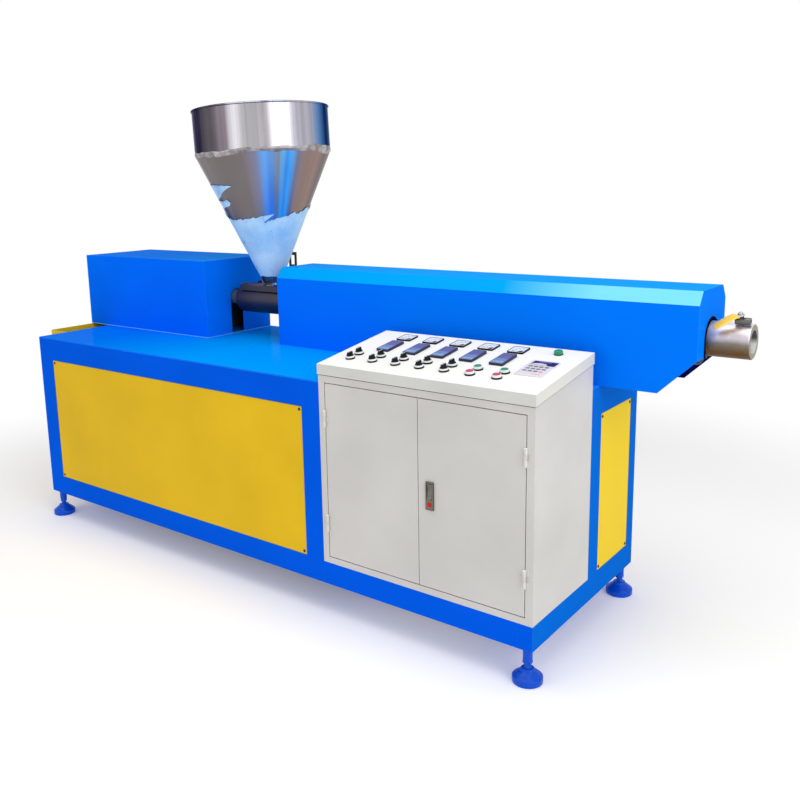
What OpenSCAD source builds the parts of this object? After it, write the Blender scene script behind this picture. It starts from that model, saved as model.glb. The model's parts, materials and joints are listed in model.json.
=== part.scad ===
// Single-screw extruder on a steel base, with a feed hopper and a control cabinet.
// Modules draw in base coordinates: x from the base's left end, y from its front face,
// z from its underside. placed() then moves them so that the origin lies on the floor,
// in the middle of the machine's footprint, with +X towards the die and +Y to the back.

/* [Base] */
// Length of the base
base_len = 2500; // [2300:10:2900]
// Depth of the base
base_depth = 775; // [765:1:840]
// Height of the base without its feet
base_height = 732; // [700:1:800]
// Height of the levelling feet
foot_height = 116; // [105:1:140]
// Thickness of the top plate
plate_t = 5; // [3:0.5:8]
// Thickness of the box sections, front to back
rail_t = 50; // [40:1:60]
// Wall of the box sections
tube_wall = 4; // [3:0.5:6]
// Width of the blue border beside the front and rear panels
post_face = 92; // [70:1:110]
// Height of the blue border under the panels
low_face = 82; // [70:1:100]
// Height of the blue border over the panels
high_face = 99; // [85:1:110]
// Width of the post between the front panel and the cabinet
mid_face = 82; // [60:1:110]
// Width of the blue post behind the cabinet, seen from the right
end_post_face = 76; // [60:1:90]
// Height of the lips behind the yellow panels
panel_lap = 22; // [20:1:28]
// Depth of the panels behind the frame's faces
panel_sink = 2; // [1:0.5:3]
// Gap around the panels
panel_gap = 2; // [1:0.5:3]
// Thickness of the yellow panels
panel_t = 2; // [1.5:0.5:3]
// Distance of a panel screw from both edges of its panel
screw_inset = 13; // [10:1:15]
// Diameter of the panel screw heads
screw_head_d = 11; // [8:1:13]
// Height of the panel screw heads
screw_head_h = 3; // [2:0.5:4]
// Diameter of the panel screw shanks
screw_d = 6; // [4:1:7]
// Width of the post between the rear panels
rear_mid_face = 80; // [60:1:120]

/* [Feet] */
// Distance of each foot from the base's two outer faces
foot_inset = 30; // [26:1:40]
// Diameter of the foot pad
pad_d = 95; // [80:1:110]
// Height of the pad's straight rim
pad_rim_h = 20; // [12:1:26]
// Height of the pad's dome
pad_dome_h = 26; // [16:1:32]
// Diameter of the welded boss
boss_d = 30; // [26:1:36]
// Height of the welded boss
boss_h = 44; // [30:1:50]
// Diameter of the threaded stud
stud_d = 20; // [16:1:22]
// Diameter of the lock nut across its corners
nut_d = 34; // [28:1:40]
// Height of the lock nut
nut_h = 12; // [8:1:14]

/* [Gearbox cover] */
// Length of the gearbox cover
gear_cover_len = 856; // [830:1:900]
// How far the gearbox cover reaches past the base's left end
cover_over = 145; // [135:1:160]
// Height of the gearbox cover
gear_cover_h = 336; // [320:1:380]
// Distance of the gearbox cover's front from the base's front
gear_cover_front = 381; // [340:1:400]
// Distance of the gearbox cover's back from the base's back
gear_cover_inset = 4; // [0:1:6]
// Thickness of the cover sheets
sheet_t = 2; // [1.5:0.5:3]
// Width of the slot around the barrel's neck
slot_w = 72; // [70:1:90]

/* [Belt drive] */
// Depth of the belt guard, along the machine
guard_reach = 138; // [132:1:145]
// Distance of the guard's front from the base's front
guard_front = 150; // [120:1:200]
// Distance of the guard's back from the base's back
guard_back = 80; // [76:1:90]
// Height of the guard's underside
guard_bottom = 150; // [120:1:160]
// Distance of the motor axis from the base's front
motor_back = 400; // [380:1:420]
// Shaft height of the motor over its feet
motor_shaft_h = 160; // [155:1:180]
// Diameter of the motor's frame
motor_d = 270; // [240:1:300]
// Length of the motor's frame
motor_len = 420; // [360:5:460]
// Distance of the motor's front face from the base's left end
motor_x = 75; // [60:1:90]
// Diameter of the motor shaft
motor_shaft_d = 42; // [38:1:48]
// Outside diameter of the motor pulley
small_pulley_d = 130; // [120:1:140]
// Outside diameter of the gearbox pulley
big_pulley_d = 224; // [200:1:236]
// Number of belts
belt_count = 3; // [2:1:3]
// Distance between belts
belt_pitch = 19; // [18:0.5:20]
// Width of a belt
belt_w = 12; // [10:0.5:13]
// Thickness of a belt
belt_t = 10; // [8:0.5:11]
// Distance of the pulleys' inner face from the base's left end
pulley_gap = 42; // [38:1:50]

/* [Gearbox] */
// Distance of the gearbox from the base's left end
case_x = 110; // [100:1:130]
// Length of the gearbox case
case_len = 430; // [426:1:450]
// Wall of the gearbox case
case_wall = 20; // [18:1:24]
// Thickness of the case's inner web
web_t = 48; // [46:1:52]
// Module of the gear teeth
gear_module = 2.5; // [2.2:0.1:2.6]
// Teeth of the input pinion
input_teeth = 20; // [20:1:24]
// Teeth of the layshaft gear
mid_gear_teeth = 58; // [54:1:58]
// Teeth of the layshaft pinion
mid_pinion_teeth = 18; // [18:1:22]
// Face width of the gears
gear_w = 40; // [30:1:45]
// Diameter of the input shaft and the layshaft
shaft_d = 35; // [30:1:38]
// Outside diameter of the small bearings
bearing_d = 72; // [62:1:78]
// Width of the small bearings
bearing_w = 17; // [14:1:18]
// Diameter of the output quill
quill_d = 60; // [54:1:62]
// Outside diameter of the output bearings
big_bearing_d = 110; // [95:1:115]
// Width of the output bearings
big_bearing_w = 20; // [16:1:20]

/* [Barrel and screw] */
// Distance of the screw's axis from the base's front
axis_back = 563; // [555:1:572]
// Height of the screw's axis over the base's top
axis_up = 164; // [158:1:170]
// Distance of the barrel's rear end from the base's left end
barrel_x = 763; // [750:1:790]
// Diameter of the barrel's feed section
feed_d = 124; // [118:1:128]
// Length of the barrel's feed section
feed_len = 355; // [345:1:380]
// Diameter of the heated barrel
barrel_d = 115; // [105:1:116]
// Diameter of the screw
screw_flight_d = 55; // [50:1:58]
// Clearance between flights and bore
flight_gap = 0.4; // [0.3:0.05:0.8]
// Core diameter of the screw
screw_core_d = 38; // [34:1:40]
// Diameter of the screw's plain shank
shank_d = 40; // [38:1:42]
// Distance between the flights
flight_pitch = 60; // [50:1:80]
// Diameter of the neck between the gearbox and the barrel
neck_d = 64; // [62:1:66]
// Diameter of the flanges at the barrel's front
flange_d = 172; // [165:1:180]
// Thickness of each of those flanges
flange_t = 22; // [16:1:26]
// Number of flange bolts
flange_bolts = 6; // [4:1:8]
// Diameter of the flange bolts
flange_bolt_d = 14; // [10:1:16]

/* [Feeding] */
// Distance of the feed throat from the barrel's rear end
throat_x = 180; // [168:1:190]
// Diameter of the feed throat
throat_d = 60; // [50:1:62]
// Length of the feed flange, centred on the throat
feed_flange_len = 286; // [260:1:286]
// Width of the feed flange
feed_flange_w = 116; // [100:1:118]
// Height of the feed flange's top over the screw axis
feed_flange_up = 65; // [65:1:70]
// Thickness of the feed flange beside the barrel
feed_flange_t = 24; // [18:1:30]
// Thickness of the gate's blade
blade_t = 4; // [3:0.5:5]
// Width of the gate's blade
blade_w = 70; // [68:1:76]
// Travel of the slide gate
gate_travel = 70; // [66:1:75]

/* [Hopper] */
// Lean of the hopper towards the gearbox, in degrees
hopper_lean = 2.5; // [0:0.5:3]
// Diameter of the hopper's bottom opening
outlet_d = 67; // [65:1:72]
// Diameter of the hopper's rim
rim_d = 570; // [520:1:600]
// Height of the hopper's cone
cone_h = 555; // [500:1:600]
// Height of the hopper's rim
rim_h = 182; // [150:1:220]
// Sheet of the hopper
hopper_t = 2; // [1.5:0.5:3]

/* [Barrel cover] */
// Length of the feed section under the barrel cover
feed_lap = 26; // [20:1:32]
// Length of the barrel cover
bar_cover_len = 1714; // [1680:1:1740]
// Width of the barrel cover
bar_cover_w = 256; // [236:1:270]
// Height of the barrel cover's sides
bar_cover_side = 279; // [265:1:290]
// Height of the barrel cover's top
bar_cover_top = 320; // [310:1:340]
// Run of the barrel cover's bevel
bar_cover_bevel = 31; // [20:1:40]
// Length of the barrel cover's slanted cut
slant_run = 117; // [90:1:140]
// Height of the slanted cut
slant_rise = 112; // [90:1:115]
// Gap between the adapter and the cover's notch
notch_gap = 8; // [5:1:12]

/* [Heating] */
// Number of heater bands
heater_count = 5; // [4:1:5]
// Width of a heater band
heater_w = 200; // [160:1:215]
// Distance of the last heater band from the barrel's flange
heater_end = 179; // [150:1:190]
// Thickness of a heater band
heater_t = 14; // [10:1:18]
// Distance of the first heater band from the feed section
heater_gap = 75; // [70:1:90]

/* [Die adapter] */
// Length of the adapter outside the barrel cover
adapter_len = 124; // [118:1:140]
// Diameter of the adapter
adapter_d = 110; // [104:1:114]
// Diameter of the adapter's mouth
mouth_d = 70; // [60:1:76]
// Depth of the adapter's mouth
mouth_len = 90; // [70:1:96]
// Distance of the valve from the adapter's end
valve_back = 34; // [30:1:40]
// Tilt of the valve towards the front, in degrees
valve_tilt = 19.5; // [0:0.5:25]
// Angle of the lever from the machine's length, in degrees
lever_turn = 47; // [30:1:60]
// Length of the lever
lever_len = 80; // [60:1:84]
// Width of the lever
lever_w = 19; // [14:1:22]
// Thickness of the lever
lever_t = 3; // [2:0.5:4]
// Diameter of the valve's body
valve_d = 22; // [18:1:24]
// Length of the valve's body
valve_len = 44; // [36:1:48]
// Diameter of the valve's stem
stem_d = 8; // [6:0.5:9]

/* [Cabinet] */
// Length of the cabinet
cab_len = 814; // [800:1:860]
// Depth of the cabinet
cab_depth = 390; // [370:1:400]
// Height of the lid's front edge over the base's top
lid_front_up = 61; // [56:1:70]
// Height of the lid's back edge over the base's top
lid_back_up = 116; // [105:1:120]
// Height of the lid's rim
lid_lip = 36; // [28:1:40]
// Gap between the lid's rim and the cabinet
lid_gap = 0.5; // [0.3:0.1:1]
// Width of the cabinet's frame beside the doors
stile_w = 28; // [24:1:34]
// Height of the cabinet's frame under the doors
sill_h = 25; // [20:1:34]
// Height of the cabinet's frame over the doors
head_h = 29; // [25:1:34]
// Thickness of the doors
door_t = 18; // [14:1:22]
// Gap around the doors
door_gap = 2.5; // [2:0.5:3.5]
// Height of a door hinge
hinge_h = 57; // [50:1:70]
// Diameter of a hinge barrel
hinge_d = 11; // [10:0.5:12]
// Diameter of a hinge pin
hinge_pin_d = 5; // [4:0.5:6]
// Distance of the hinges' centres from the doors' top and bottom
hinge_inset = 123; // [100:1:150]
// Height of the lock
lock_h = 92; // [84:1:100]
// Width of the lock
lock_w = 28; // [26:1:34]
// Thickness of the lock's housing
lock_t = 7; // [6.5:0.5:8]
// Distance of the lock's centre from the door's free edge
lock_inset = 46; // [40:1:60]
// Height of the lock's centre over the doors' bottom
lock_up = 311; // [280:1:330]
// Diameter of the lock's button
lock_button_d = 16; // [14:0.5:17]

/* [Control panel] */
// Number of heating zones with a meter and a controller
zone_count = 5; // [4:1:5]
// Gap between the last controller and the keypad
zone_end = 72; // [68:1:116]
// Distance of the first zone from the cabinet's left edge
zone_first = 137; // [130:1:140]
// Distance of the ammeters from the lid's front edge
meter_row = 334; // [330:1:345]
// Size of an ammeter
meter_w = 56; // [48:1:60]
// Distance of the controllers from the lid's front edge
controller_row = 231; // [226:1:236]
// Width of a controller
controller_w = 48; // [44:1:52]
// Length of a controller
controller_l = 96; // [90:1:100]
// Thickness of the instrument bezels
instrument_t = 7; // [5:0.5:9]
// Number of rotary switches in a row
switch_count = 5; // [4:1:5]
// Gap between the last switch and the keypad
switch_end = 20.2; // [19:0.1:46]
// Distance of the first switch from the cabinet's left edge
switch_first = 76; // [60:1:80]
// Distance of the front row of switches from the lid's front edge
front_row = 83; // [70:1:86]
// Distance of the back row of switches from the lid's front edge
back_row = 132; // [128:1:140]
// Diameter of a switch bezel
bezel_d = 30; // [28:1:34]
// Height of a switch bezel
bezel_h = 6; // [5:0.5:8]
// Diameter of a push button's cap
cap_d = 22; // [20:0.5:23]
// Travel of a push button
button_travel = 3; // [2:0.5:4]
// Distance of the pilot lamp from the cabinet's right edge
lamp_right = 96; // [89:1:114]
// Distance of the pilot lamp from the lid's front edge
lamp_row = 343; // [330:1:350]
// Width of the drive's keypad
keypad_w = 88; // [80:1:92]
// Length of the drive's keypad
keypad_l = 128; // [110:1:132]
// Distance of the keypad's centre from the cabinet's right edge
keypad_right = 93; // [86:1:98]
// Distance of the keypad's centre from the lid's front edge
keypad_row = 193; // [188:1:200]

/* [Hidden] */
$fn = 48;

// One overrun serves all cuts
cut = 1;
// Radial clearance of a running fit
fit = 0.05;
// Clearance between pieces that pass each other
pass_gap = 0.3;

// Colours
blue = [0.0, 0.36, 0.93];
yellow = [0.9, 0.74, 0.2];
cabinet_white = [0.82, 0.82, 0.8];
stainless = [0.72, 0.73, 0.75];
bare_steel = [0.6, 0.58, 0.55];
dark_steel = [0.2, 0.2, 0.24];
cast_grey = [0.35, 0.4, 0.42];
black = [0.06, 0.06, 0.07];
zinc = [0.7, 0.7, 0.7];

// Derived places, in base coordinates
axis_z = base_height + axis_up;
cab_x = base_len - cab_len;
// The hopper's rim reaches back past the base, the feet's pads forward
rim_edge_r = 2 * hopper_t;
mid_y = (axis_back + rim_d / 2 + rim_edge_r + foot_inset - pad_d / 2) / 2;
gear_cover_x1 = gear_cover_len - cover_over;
bar_cover_x = barrel_x + feed_len - feed_lap;
bar_cover_x1 = bar_cover_x + bar_cover_len;
adapter_end = bar_cover_x1 + adapter_len;
mid_x = (adapter_end - cover_over) / 2;
front_panel_x1 = cab_x - mid_face;
panel_top = base_height - high_face;
plate_z = base_height - plate_t;
lamp_x = cab_len - lamp_right;
keypad_x = cab_len - keypad_right;
keypad_x0 = keypad_x - keypad_w / 2;
zone_pitch = (keypad_x0 - zone_end - controller_w / 2 - zone_first) / (zone_count - 1);
switch_pitch = (keypad_x0 - switch_end - bezel_d / 2 - switch_first) / (switch_count + 1);

module placed() {
    translate([-mid_x, -mid_y, foot_height]) children();
}

// Block between two corners
module block(low, high) {
    translate(low) cube(high - low);
}

// Box section with open ends, just short of the pieces they are welded to
module box_section(low, high, along) {
    ends = [for (k = [0:2]) k == along ? weld_gap : 0];
    inset = [for (k = [0:2]) k == along ? -cut : tube_wall];
    difference() {
        block(low + ends, high - ends);
        block(low + inset, high - inset);
    }
}
weld_gap = 0.2;

// Upright box section with a closed foot
module post(low, high) {
    difference() {
        block(low, high);
        block(low + [tube_wall, tube_wall, tube_wall], high + [-tube_wall, -tube_wall, cut]);
    }
}

// Round bar along the machine
module bar_x(x0, x1, y, z, r) {
    translate([x0, y, z]) rotate([90, 0, 90]) cylinder(h = x1 - x0, r = r);
}

// Ring along the machine
module ring_x(x0, x1, y, z, r_out, r_in) {
    difference() {
        bar_x(x0, x1, y, z, r_out);
        bar_x(x0 - cut, x1 + cut, y, z, r_in);
    }
}

// Ring standing upright
module ring_z(h, r_out, r_in) {
    difference() {
        cylinder(h = h, r = r_out);
        translate([0, 0, -cut]) cylinder(h = h + 2 * cut, r = r_in);
    }
}

// Base frame
// The motor stands on two cross members, level with the lower rails
cross_member_w = 60;
motor_foot_x = motor_x + motor_len * 0.22;
motor_foot_gap = motor_len * 0.5;
rear_panel_x1 = base_len - post_face;
rear_mid_x = base_len / 2;
rear_mid = [rear_mid_x - rear_mid_face / 2, rear_mid_x + rear_mid_face / 2];
end_post_y1 = cab_depth + end_post_face;
rail_y1 = base_depth - rail_t;
rail_x1 = base_len - rail_t;
lip_t = 3;
lip_y = panel_sink + panel_t;

// Lower and upper rail along x, with lips that stick out behind a panel
module rail_pair_x(x0, x1, y0, lip_y0) {
    for (z = [[0, low_face], [panel_top, plate_z]])
        box_section([x0, y0, z[0]], [x1, y0 + rail_t, z[1]], 0);
    for (z = [low_face, panel_top - panel_lap])
        block([x0 + cut, lip_y0, z - tube_wall / 2],
            [x1 - cut, lip_y0 + lip_t, z + panel_lap + tube_wall / 2]);
}

// The same along y
module rail_pair_y(y0, y1, x0, lip_x0) {
    for (z = [[0, low_face], [panel_top, plate_z]])
        box_section([x0, y0, z[0]], [x0 + rail_t, y1, z[1]], 1);
    for (z = [low_face, panel_top - panel_lap])
        block([lip_x0, y0 + cut, z - tube_wall / 2],
            [lip_x0 + lip_t, y1 - cut, z + panel_lap + tube_wall / 2]);
}

module base_frame() placed() color(blue) {
    // Posts
    post([0, 0, 0], [post_face, rail_t, plate_z]);
    post([front_panel_x1, 0, 0], [cab_x, rail_t, plate_z]);
    post([0, rail_y1, 0], [post_face, base_depth, plate_z]);
    post([rear_mid[0], rail_y1, 0], [rear_mid[1], base_depth, plate_z]);
    post([rear_panel_x1, rail_y1, 0], [base_len, base_depth, plate_z]);
    post([rail_x1, cab_depth, 0], [base_len, end_post_y1, plate_z]);
    post([rail_x1, 0, 0], [base_len, rail_t, low_face]);
    // Rails with the panels' lips
    rail_pair_x(post_face, front_panel_x1, 0, lip_y);
    rail_pair_x(post_face, rear_mid[0], rail_y1, base_depth - lip_y - lip_t);
    rail_pair_x(rear_mid[1], rear_panel_x1, rail_y1, base_depth - lip_y - lip_t);
    rail_pair_y(rail_t, rail_y1, 0, lip_y);
    rail_pair_y(end_post_y1, rail_y1, rail_x1, base_len - lip_y - lip_t);
    // Rails under and behind the cabinet
    box_section([cab_x, 0, 0], [rail_x1, rail_t, low_face], 0);
    box_section([rail_x1, rail_t, 0], [base_len, cab_depth, low_face], 1);
    box_section([cab_x - rail_t, rail_t, panel_top], [cab_x, cab_depth + rail_t, plate_z], 1);
    box_section([cab_x, cab_depth, panel_top], [rail_x1, cab_depth + rail_t, plate_z], 0);
    // Cross members under the motor and floor bars under the cabinet
    for (x = [motor_foot_x - cross_member_w / 2, motor_foot_x + motor_foot_gap
        - cross_member_w / 2, cab_x, rail_x1 - 2 * cross_member_w])
        box_section([x, rail_t, low_face - cross_member_w], [x + cross_member_w, rail_y1,
            low_face], 1);
}

module top_plate() placed() color(blue)
    translate([0, 0, plate_z]) linear_extrude(plate_t)
        polygon([[0, 0], [cab_x, 0], [cab_x, cab_depth], [base_len, cab_depth],
            [base_len, base_depth], [0, base_depth]]);

// Screw places of a flat panel from (a0, b0) to (a1, b1)
function corners(a0, a1, b0, b1) = [for (a = [a0 + screw_inset, a1 - screw_inset])
    for (b = [b0 + screw_inset, b1 - screw_inset]) [a, b]];
front_screws = corners(post_face, front_panel_x1, low_face, panel_top);
end_screws = corners(end_post_y1, rail_y1, low_face, panel_top);
left_screws = corners(rail_t, rail_y1, low_face, panel_top);
rear_x = [[post_face, rear_mid[0]], [rear_mid[1], rear_panel_x1]];
screw_hole_d = screw_d + 2 * pass_gap;
shaft_hole_d = small_pulley_d + 10 * pass_gap;

// Upright sheet facing y, smaller than its opening, with its screw holes
module panel_y(x0, x1, y, holes) {
    difference() {
        block([x0 + panel_gap, y, low_face + panel_gap],
            [x1 - panel_gap, y + panel_t, panel_top - panel_gap]);
        for (p = holes) translate([p[0], y - cut, p[1]]) rotate([-90, 0, 0])
            cylinder(h = panel_t + 2 * cut, d = screw_hole_d);
    }
}

// The same facing x
module panel_x(y0, y1, x, holes) {
    difference() {
        block([x, y0 + panel_gap, low_face + panel_gap],
            [x + panel_t, y1 - panel_gap, panel_top - panel_gap]);
        for (p = holes) bar_x(x - cut, x + panel_t + cut, p[0], p[1], screw_hole_d / 2);
    }
}

module front_panel() placed() color(yellow)
    panel_y(post_face, front_panel_x1, panel_sink, front_screws);

module end_panels() placed() color(yellow) {
    panel_x(end_post_y1, rail_y1, base_len - lip_y, end_screws);
    difference() {
        panel_x(rail_t, rail_y1, panel_sink, left_screws);
        bar_x(0, lip_y + cut, motor_back, motor_z, shaft_hole_d / 2);
    }
}

module rear_panels() placed() color(yellow)
    for (p = rear_x)
        panel_y(p[0], p[1], base_depth - lip_y, corners(p[0], p[1], low_face, panel_top));

// Screw with its head outwards, along -z before it is turned
module panel_screw() {
    cylinder(h = screw_head_h, d1 = screw_head_d, d2 = screw_head_d * 0.7);
    translate([0, 0, -panel_t]) cylinder(h = panel_t, d = screw_d);
}

module panel_screws() placed() color(zinc) {
    for (p = front_screws) translate([p[0], panel_sink, p[1]]) rotate([90, 0, 0]) panel_screw();
    for (p = end_screws) translate([base_len - panel_sink, p[0], p[1]])
        rotate([0, 90, 0]) panel_screw();
    for (p = left_screws) translate([panel_sink, p[0], p[1]]) rotate([0, -90, 0]) panel_screw();
    for (r = rear_x) for (p = corners(r[0], r[1], low_face, panel_top))
        translate([p[0], base_depth - panel_sink, p[1]]) rotate([-90, 0, 0]) panel_screw();
}

// Levelling foot: boss, stud with its nut, and domed pad
pad_top_d = pad_d * 0.42;
pad_h = pad_rim_h + pad_dome_h;

module foot() {
    translate([0, 0, -boss_h]) cylinder(h = boss_h, d = boss_d);
    translate([0, 0, -boss_h - nut_h]) cylinder(h = nut_h, d = nut_d, $fn = 6);
    stud_top = -boss_h - nut_h;
    translate([0, 0, pad_h - foot_height]) cylinder(h = stud_top - pad_h + foot_height, d = stud_d);
    translate([0, 0, -foot_height]) cylinder(h = pad_rim_h, d = pad_d);
    translate([0, 0, pad_rim_h - foot_height])
        cylinder(h = pad_dome_h, d1 = pad_d * 0.94, d2 = pad_top_d);
}

module levelling_feet() placed() color(blue)
    for (x = [foot_inset, base_len - foot_inset]) for (y = [foot_inset, base_depth - foot_inset])
        translate([x, y, 0]) foot();

// Belt drive
motor_z = low_face + motor_shaft_h;
groove_t = belt_t + pass_gap;
pulley_w = belt_count * belt_pitch + (belt_pitch - belt_w) / 2;
pulley_x0 = -pulley_gap - pulley_w;
belt_rise = axis_z - motor_z;
belt_run = axis_back - motor_back;
belt_centres = sqrt(belt_rise * belt_rise + belt_run * belt_run);
belt_lean = atan2(belt_run, belt_rise);

// Grooved pulley along x, from pulley_x0 to the base
module pulley(y, z, d, bore_d) {
    difference() {
        bar_x(pulley_x0, pulley_x0 + pulley_w, y, z, d / 2);
        bar_x(pulley_x0 - cut, pulley_x0 + pulley_w + cut, y, z, bore_d / 2);
        for (k = [0:belt_count - 1]) ring_x(belt_x(k) - pass_gap, belt_x(k) + belt_w + pass_gap,
            y, z, d / 2 + cut, d / 2 - groove_t);
    }
}

function belt_x(k) = pulley_x0 + (belt_pitch - belt_w) / 2 + k * belt_pitch;

// Outline of a belt round both pulleys, from the motor pulley
module belt_outline(grow) {
    r1 = small_pulley_d / 2 - belt_t + grow;
    r2 = big_pulley_d / 2 - belt_t + grow;
    a = asin((r2 - r1) / belt_centres);
    circle(r = r1, $fn = 96);
    translate([0, belt_centres]) circle(r = r2, $fn = 96);
    polygon([[r1 * cos(a), -r1 * sin(a)], [r2 * cos(a), belt_centres - r2 * sin(a)],
        [-r2 * cos(a), belt_centres - r2 * sin(a)], [-r1 * cos(a), -r1 * sin(a)]]);
}

module drive_belts() placed() color(black)
    for (k = [0:belt_count - 1])
        translate([belt_x(k), motor_back, motor_z]) rotate([-belt_lean, 0, 0])
            rotate([90, 0, 90]) linear_extrude(belt_w) difference() {
                belt_outline(belt_t);
                belt_outline(0);
            }

module motor_pulley() placed() color(cast_grey) {
    pulley(motor_back, motor_z, small_pulley_d, motor_shaft_d + 2 * fit);
    bar_x(pulley_x0 - 2 * cut, motor_x + motor_end_t, motor_back, motor_z, motor_shaft_d / 2);
    // Key between the shaft and the pulley's face
    ring_x(pulley_x0 - 2 * cut - washer_t, pulley_x0 - 2 * cut, motor_back, motor_z,
        motor_shaft_d * 0.75, motor_shaft_d / 4);
}

washer_t = 5;
// Foot-mounted motor with fins, end shields, terminal box and fan cowl
motor_end_t = 30;
fin_count = 28;
fin_h = 16;
fin_w = 4;
motor_foot_t = 16;
motor_box_w = 120;
motor_box_h = 70;
cowl_len = 90;

module motor() placed() color(cast_grey) {
    body_r = motor_d / 2 - fin_h;
    x1 = motor_x + motor_len;
    difference() {
        union() {
            bar_x(motor_x + motor_end_t, x1 - motor_end_t, motor_back, motor_z, body_r);
            for (k = [0:fin_count - 1]) translate([motor_x + motor_end_t, motor_back, motor_z])
                rotate([(k + 0.5) * 360 / fin_count, 0, 0])
                    block([0, -fin_w / 2, body_r - fin_w],
                        [motor_len - 2 * motor_end_t, fin_w / 2, motor_d / 2 - fin_w]);
            for (x = [motor_x, x1 - motor_end_t])
                bar_x(x, x + motor_end_t, motor_back, motor_z, motor_d / 2);
            // Feet
            for (x = [motor_foot_x, motor_foot_x + motor_foot_gap])
                block([x - cross_member_w / 2, motor_back - motor_d / 2, low_face],
                    [x + cross_member_w / 2, motor_back + motor_d / 2, low_face + motor_foot_t]);
            for (x = [motor_foot_x, motor_foot_x + motor_foot_gap]) for (s = [-1, 1])
                block([x - motor_foot_t, motor_back + s * motor_d * 0.4 - motor_foot_t / 2,
                    low_face], [x + motor_foot_t,
                    motor_back + s * motor_d * 0.4 + motor_foot_t / 2, motor_z - motor_foot_t]);
            // Terminal box
            block([motor_x + motor_box_w, motor_back - motor_box_w / 2, motor_z + body_r - fin_w],
                [motor_x + 2 * motor_box_w, motor_back + motor_box_w / 2,
                motor_z + motor_d / 2 + motor_box_h]);
        }
        // Bearing bore for the motor shaft
        bar_x(motor_x - cut, motor_x + motor_end_t + cut, motor_back, motor_z,
            motor_shaft_d / 2 + fit);
    }
    // Fan cowl with its air holes
    difference() {
        bar_x(x1, x1 + cowl_len, motor_back, motor_z, motor_d / 2 - fin_w);
        bar_x(x1 - cut, x1 + cowl_len - sheet_t, motor_back, motor_z,
            motor_d / 2 - fin_w - sheet_t);
        for (a = [0:30:359]) for (f = [0.35, 0.62])
            translate([x1 + cowl_len - cut - sheet_t, motor_back, motor_z]) rotate([a, 0, 0])
                translate([0, 0, motor_d / 2 * f]) rotate([0, 90, 0])
                    cylinder(h = sheet_t + 2 * cut, d = motor_d * 0.06);
    }
}

// Open shell with walls of sheet, between two corners; open lists the open sides
module shell(low, high, t, open_low, open_high) {
    difference() {
        block(low, high);
        block([for (k = [0:2]) low[k] + (open_low[k] ? -cut : t)],
            [for (k = [0:2]) high[k] - (open_high[k] ? -cut : t)]);
    }
}

// The guard's top is open under the gearbox cover
module belt_guard() placed() color(yellow)
    shell([-guard_reach, guard_front, guard_bottom],
        [0, base_depth - guard_back, base_height - sheet_t], sheet_t,
        [false, false, false], [true, false, true]);

module gearbox_cover() placed() color(blue)
    difference() {
        shell([-cover_over, gear_cover_front, base_height],
            [gear_cover_x1, base_depth - gear_cover_inset, base_height + gear_cover_h], sheet_t,
            [false, false, true], [false, false, false]);
        // Slot for the neck, open at the bottom and round at the top
        block([gear_cover_x1 - sheet_t - cut, axis_back - slot_w / 2, base_height - cut],
            [gear_cover_x1 + cut, axis_back + slot_w / 2, axis_z]);
        bar_x(gear_cover_x1 - sheet_t - cut, gear_cover_x1 + cut, axis_back, axis_z, slot_w / 2);
    }

// Gearbox
// Both stages have one centre distance, so output and input share an axis
pair_teeth = input_teeth + mid_gear_teeth;
output_teeth = pair_teeth - mid_pinion_teeth;
centre_dist = gear_module * pair_teeth / 2;
lay_y = axis_back + centre_dist;
case_x1 = case_x + case_len;
inner_len = (case_len - 2 * case_wall - web_t) / 2;
web_x = case_x + case_wall + inner_len;
gear_clear = 3 * gear_module;
output_r = gear_module * output_teeth / 2;
mid_gear_r = gear_module * mid_gear_teeth / 2;
case_y0 = axis_back - output_r - gear_clear - case_wall;
case_y1 = lay_y + mid_gear_r + gear_clear + case_wall / 2;
case_top = axis_z + output_r + gear_clear + case_wall;
stage_x = [case_x + case_wall + (inner_len - gear_w) / 2, web_x + web_t + (inner_len - gear_w) / 2];
backlash_deg_share = 0.08;
addendum_share = 0.95;
dedendum_share = 1.2;
pressure = 20;

function inv_deg(a) = tan(a) * 180 / PI - a;
// Half angle of a tooth at radius r, for base radius rb and half angle h at the pitch circle
function flank(r, rb, h) = h + inv_deg(pressure) - inv_deg(acos(min(1, rb / r)));
function polar(r, a) = [r * cos(a), r * sin(a)];
function gear_points(teeth) =
    let (rp = gear_module * teeth / 2, rb = rp * cos(pressure), h = 90 / teeth * (1 - backlash_deg_share),
        radii = [rp - dedendum_share * gear_module, rp, rp + addendum_share * gear_module])
    [for (k = [0:teeth - 1]) let (c = 360 * k / teeth) each [
        for (i = [0:2]) polar(radii[i], c - flank(max(radii[i], rb), rb, h)),
        for (i = [2:-1:0]) polar(radii[i], c + flank(max(radii[i], rb), rb, h))]];

module gear(x, y, z, teeth, w, turn) {
    translate([x, y, z]) rotate([90, 0, 90]) rotate([0, 0, turn])
        linear_extrude(w) polygon(gear_points(teeth));
}

// Turn that puts a gap of the follower against a tooth of its partner
function mesh_turn(teeth) = 180 + 180 / teeth;

input_x0 = pulley_x0 - 2 * cut;
input_x1 = web_x + bearing_w;
lay_x0 = case_x + case_wall - bearing_w;
lay_x1 = case_x1 - case_wall + bearing_w;
quill_x0 = web_x + web_t - big_bearing_w;
quill_x1 = case_x1;

module input_shaft() placed() color(bare_steel) {
    bar_x(input_x0, input_x1, axis_back, axis_z, shaft_d / 2);
    gear(stage_x[0], axis_back, axis_z, input_teeth, gear_w, 0);
}

module gearbox_pulley() placed() color(cast_grey) {
    pulley(axis_back, axis_z, big_pulley_d, shaft_d + 2 * fit);
    ring_x(input_x0 - washer_t, input_x0, axis_back, axis_z, shaft_d * 0.75, shaft_d / 4);
}

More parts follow.
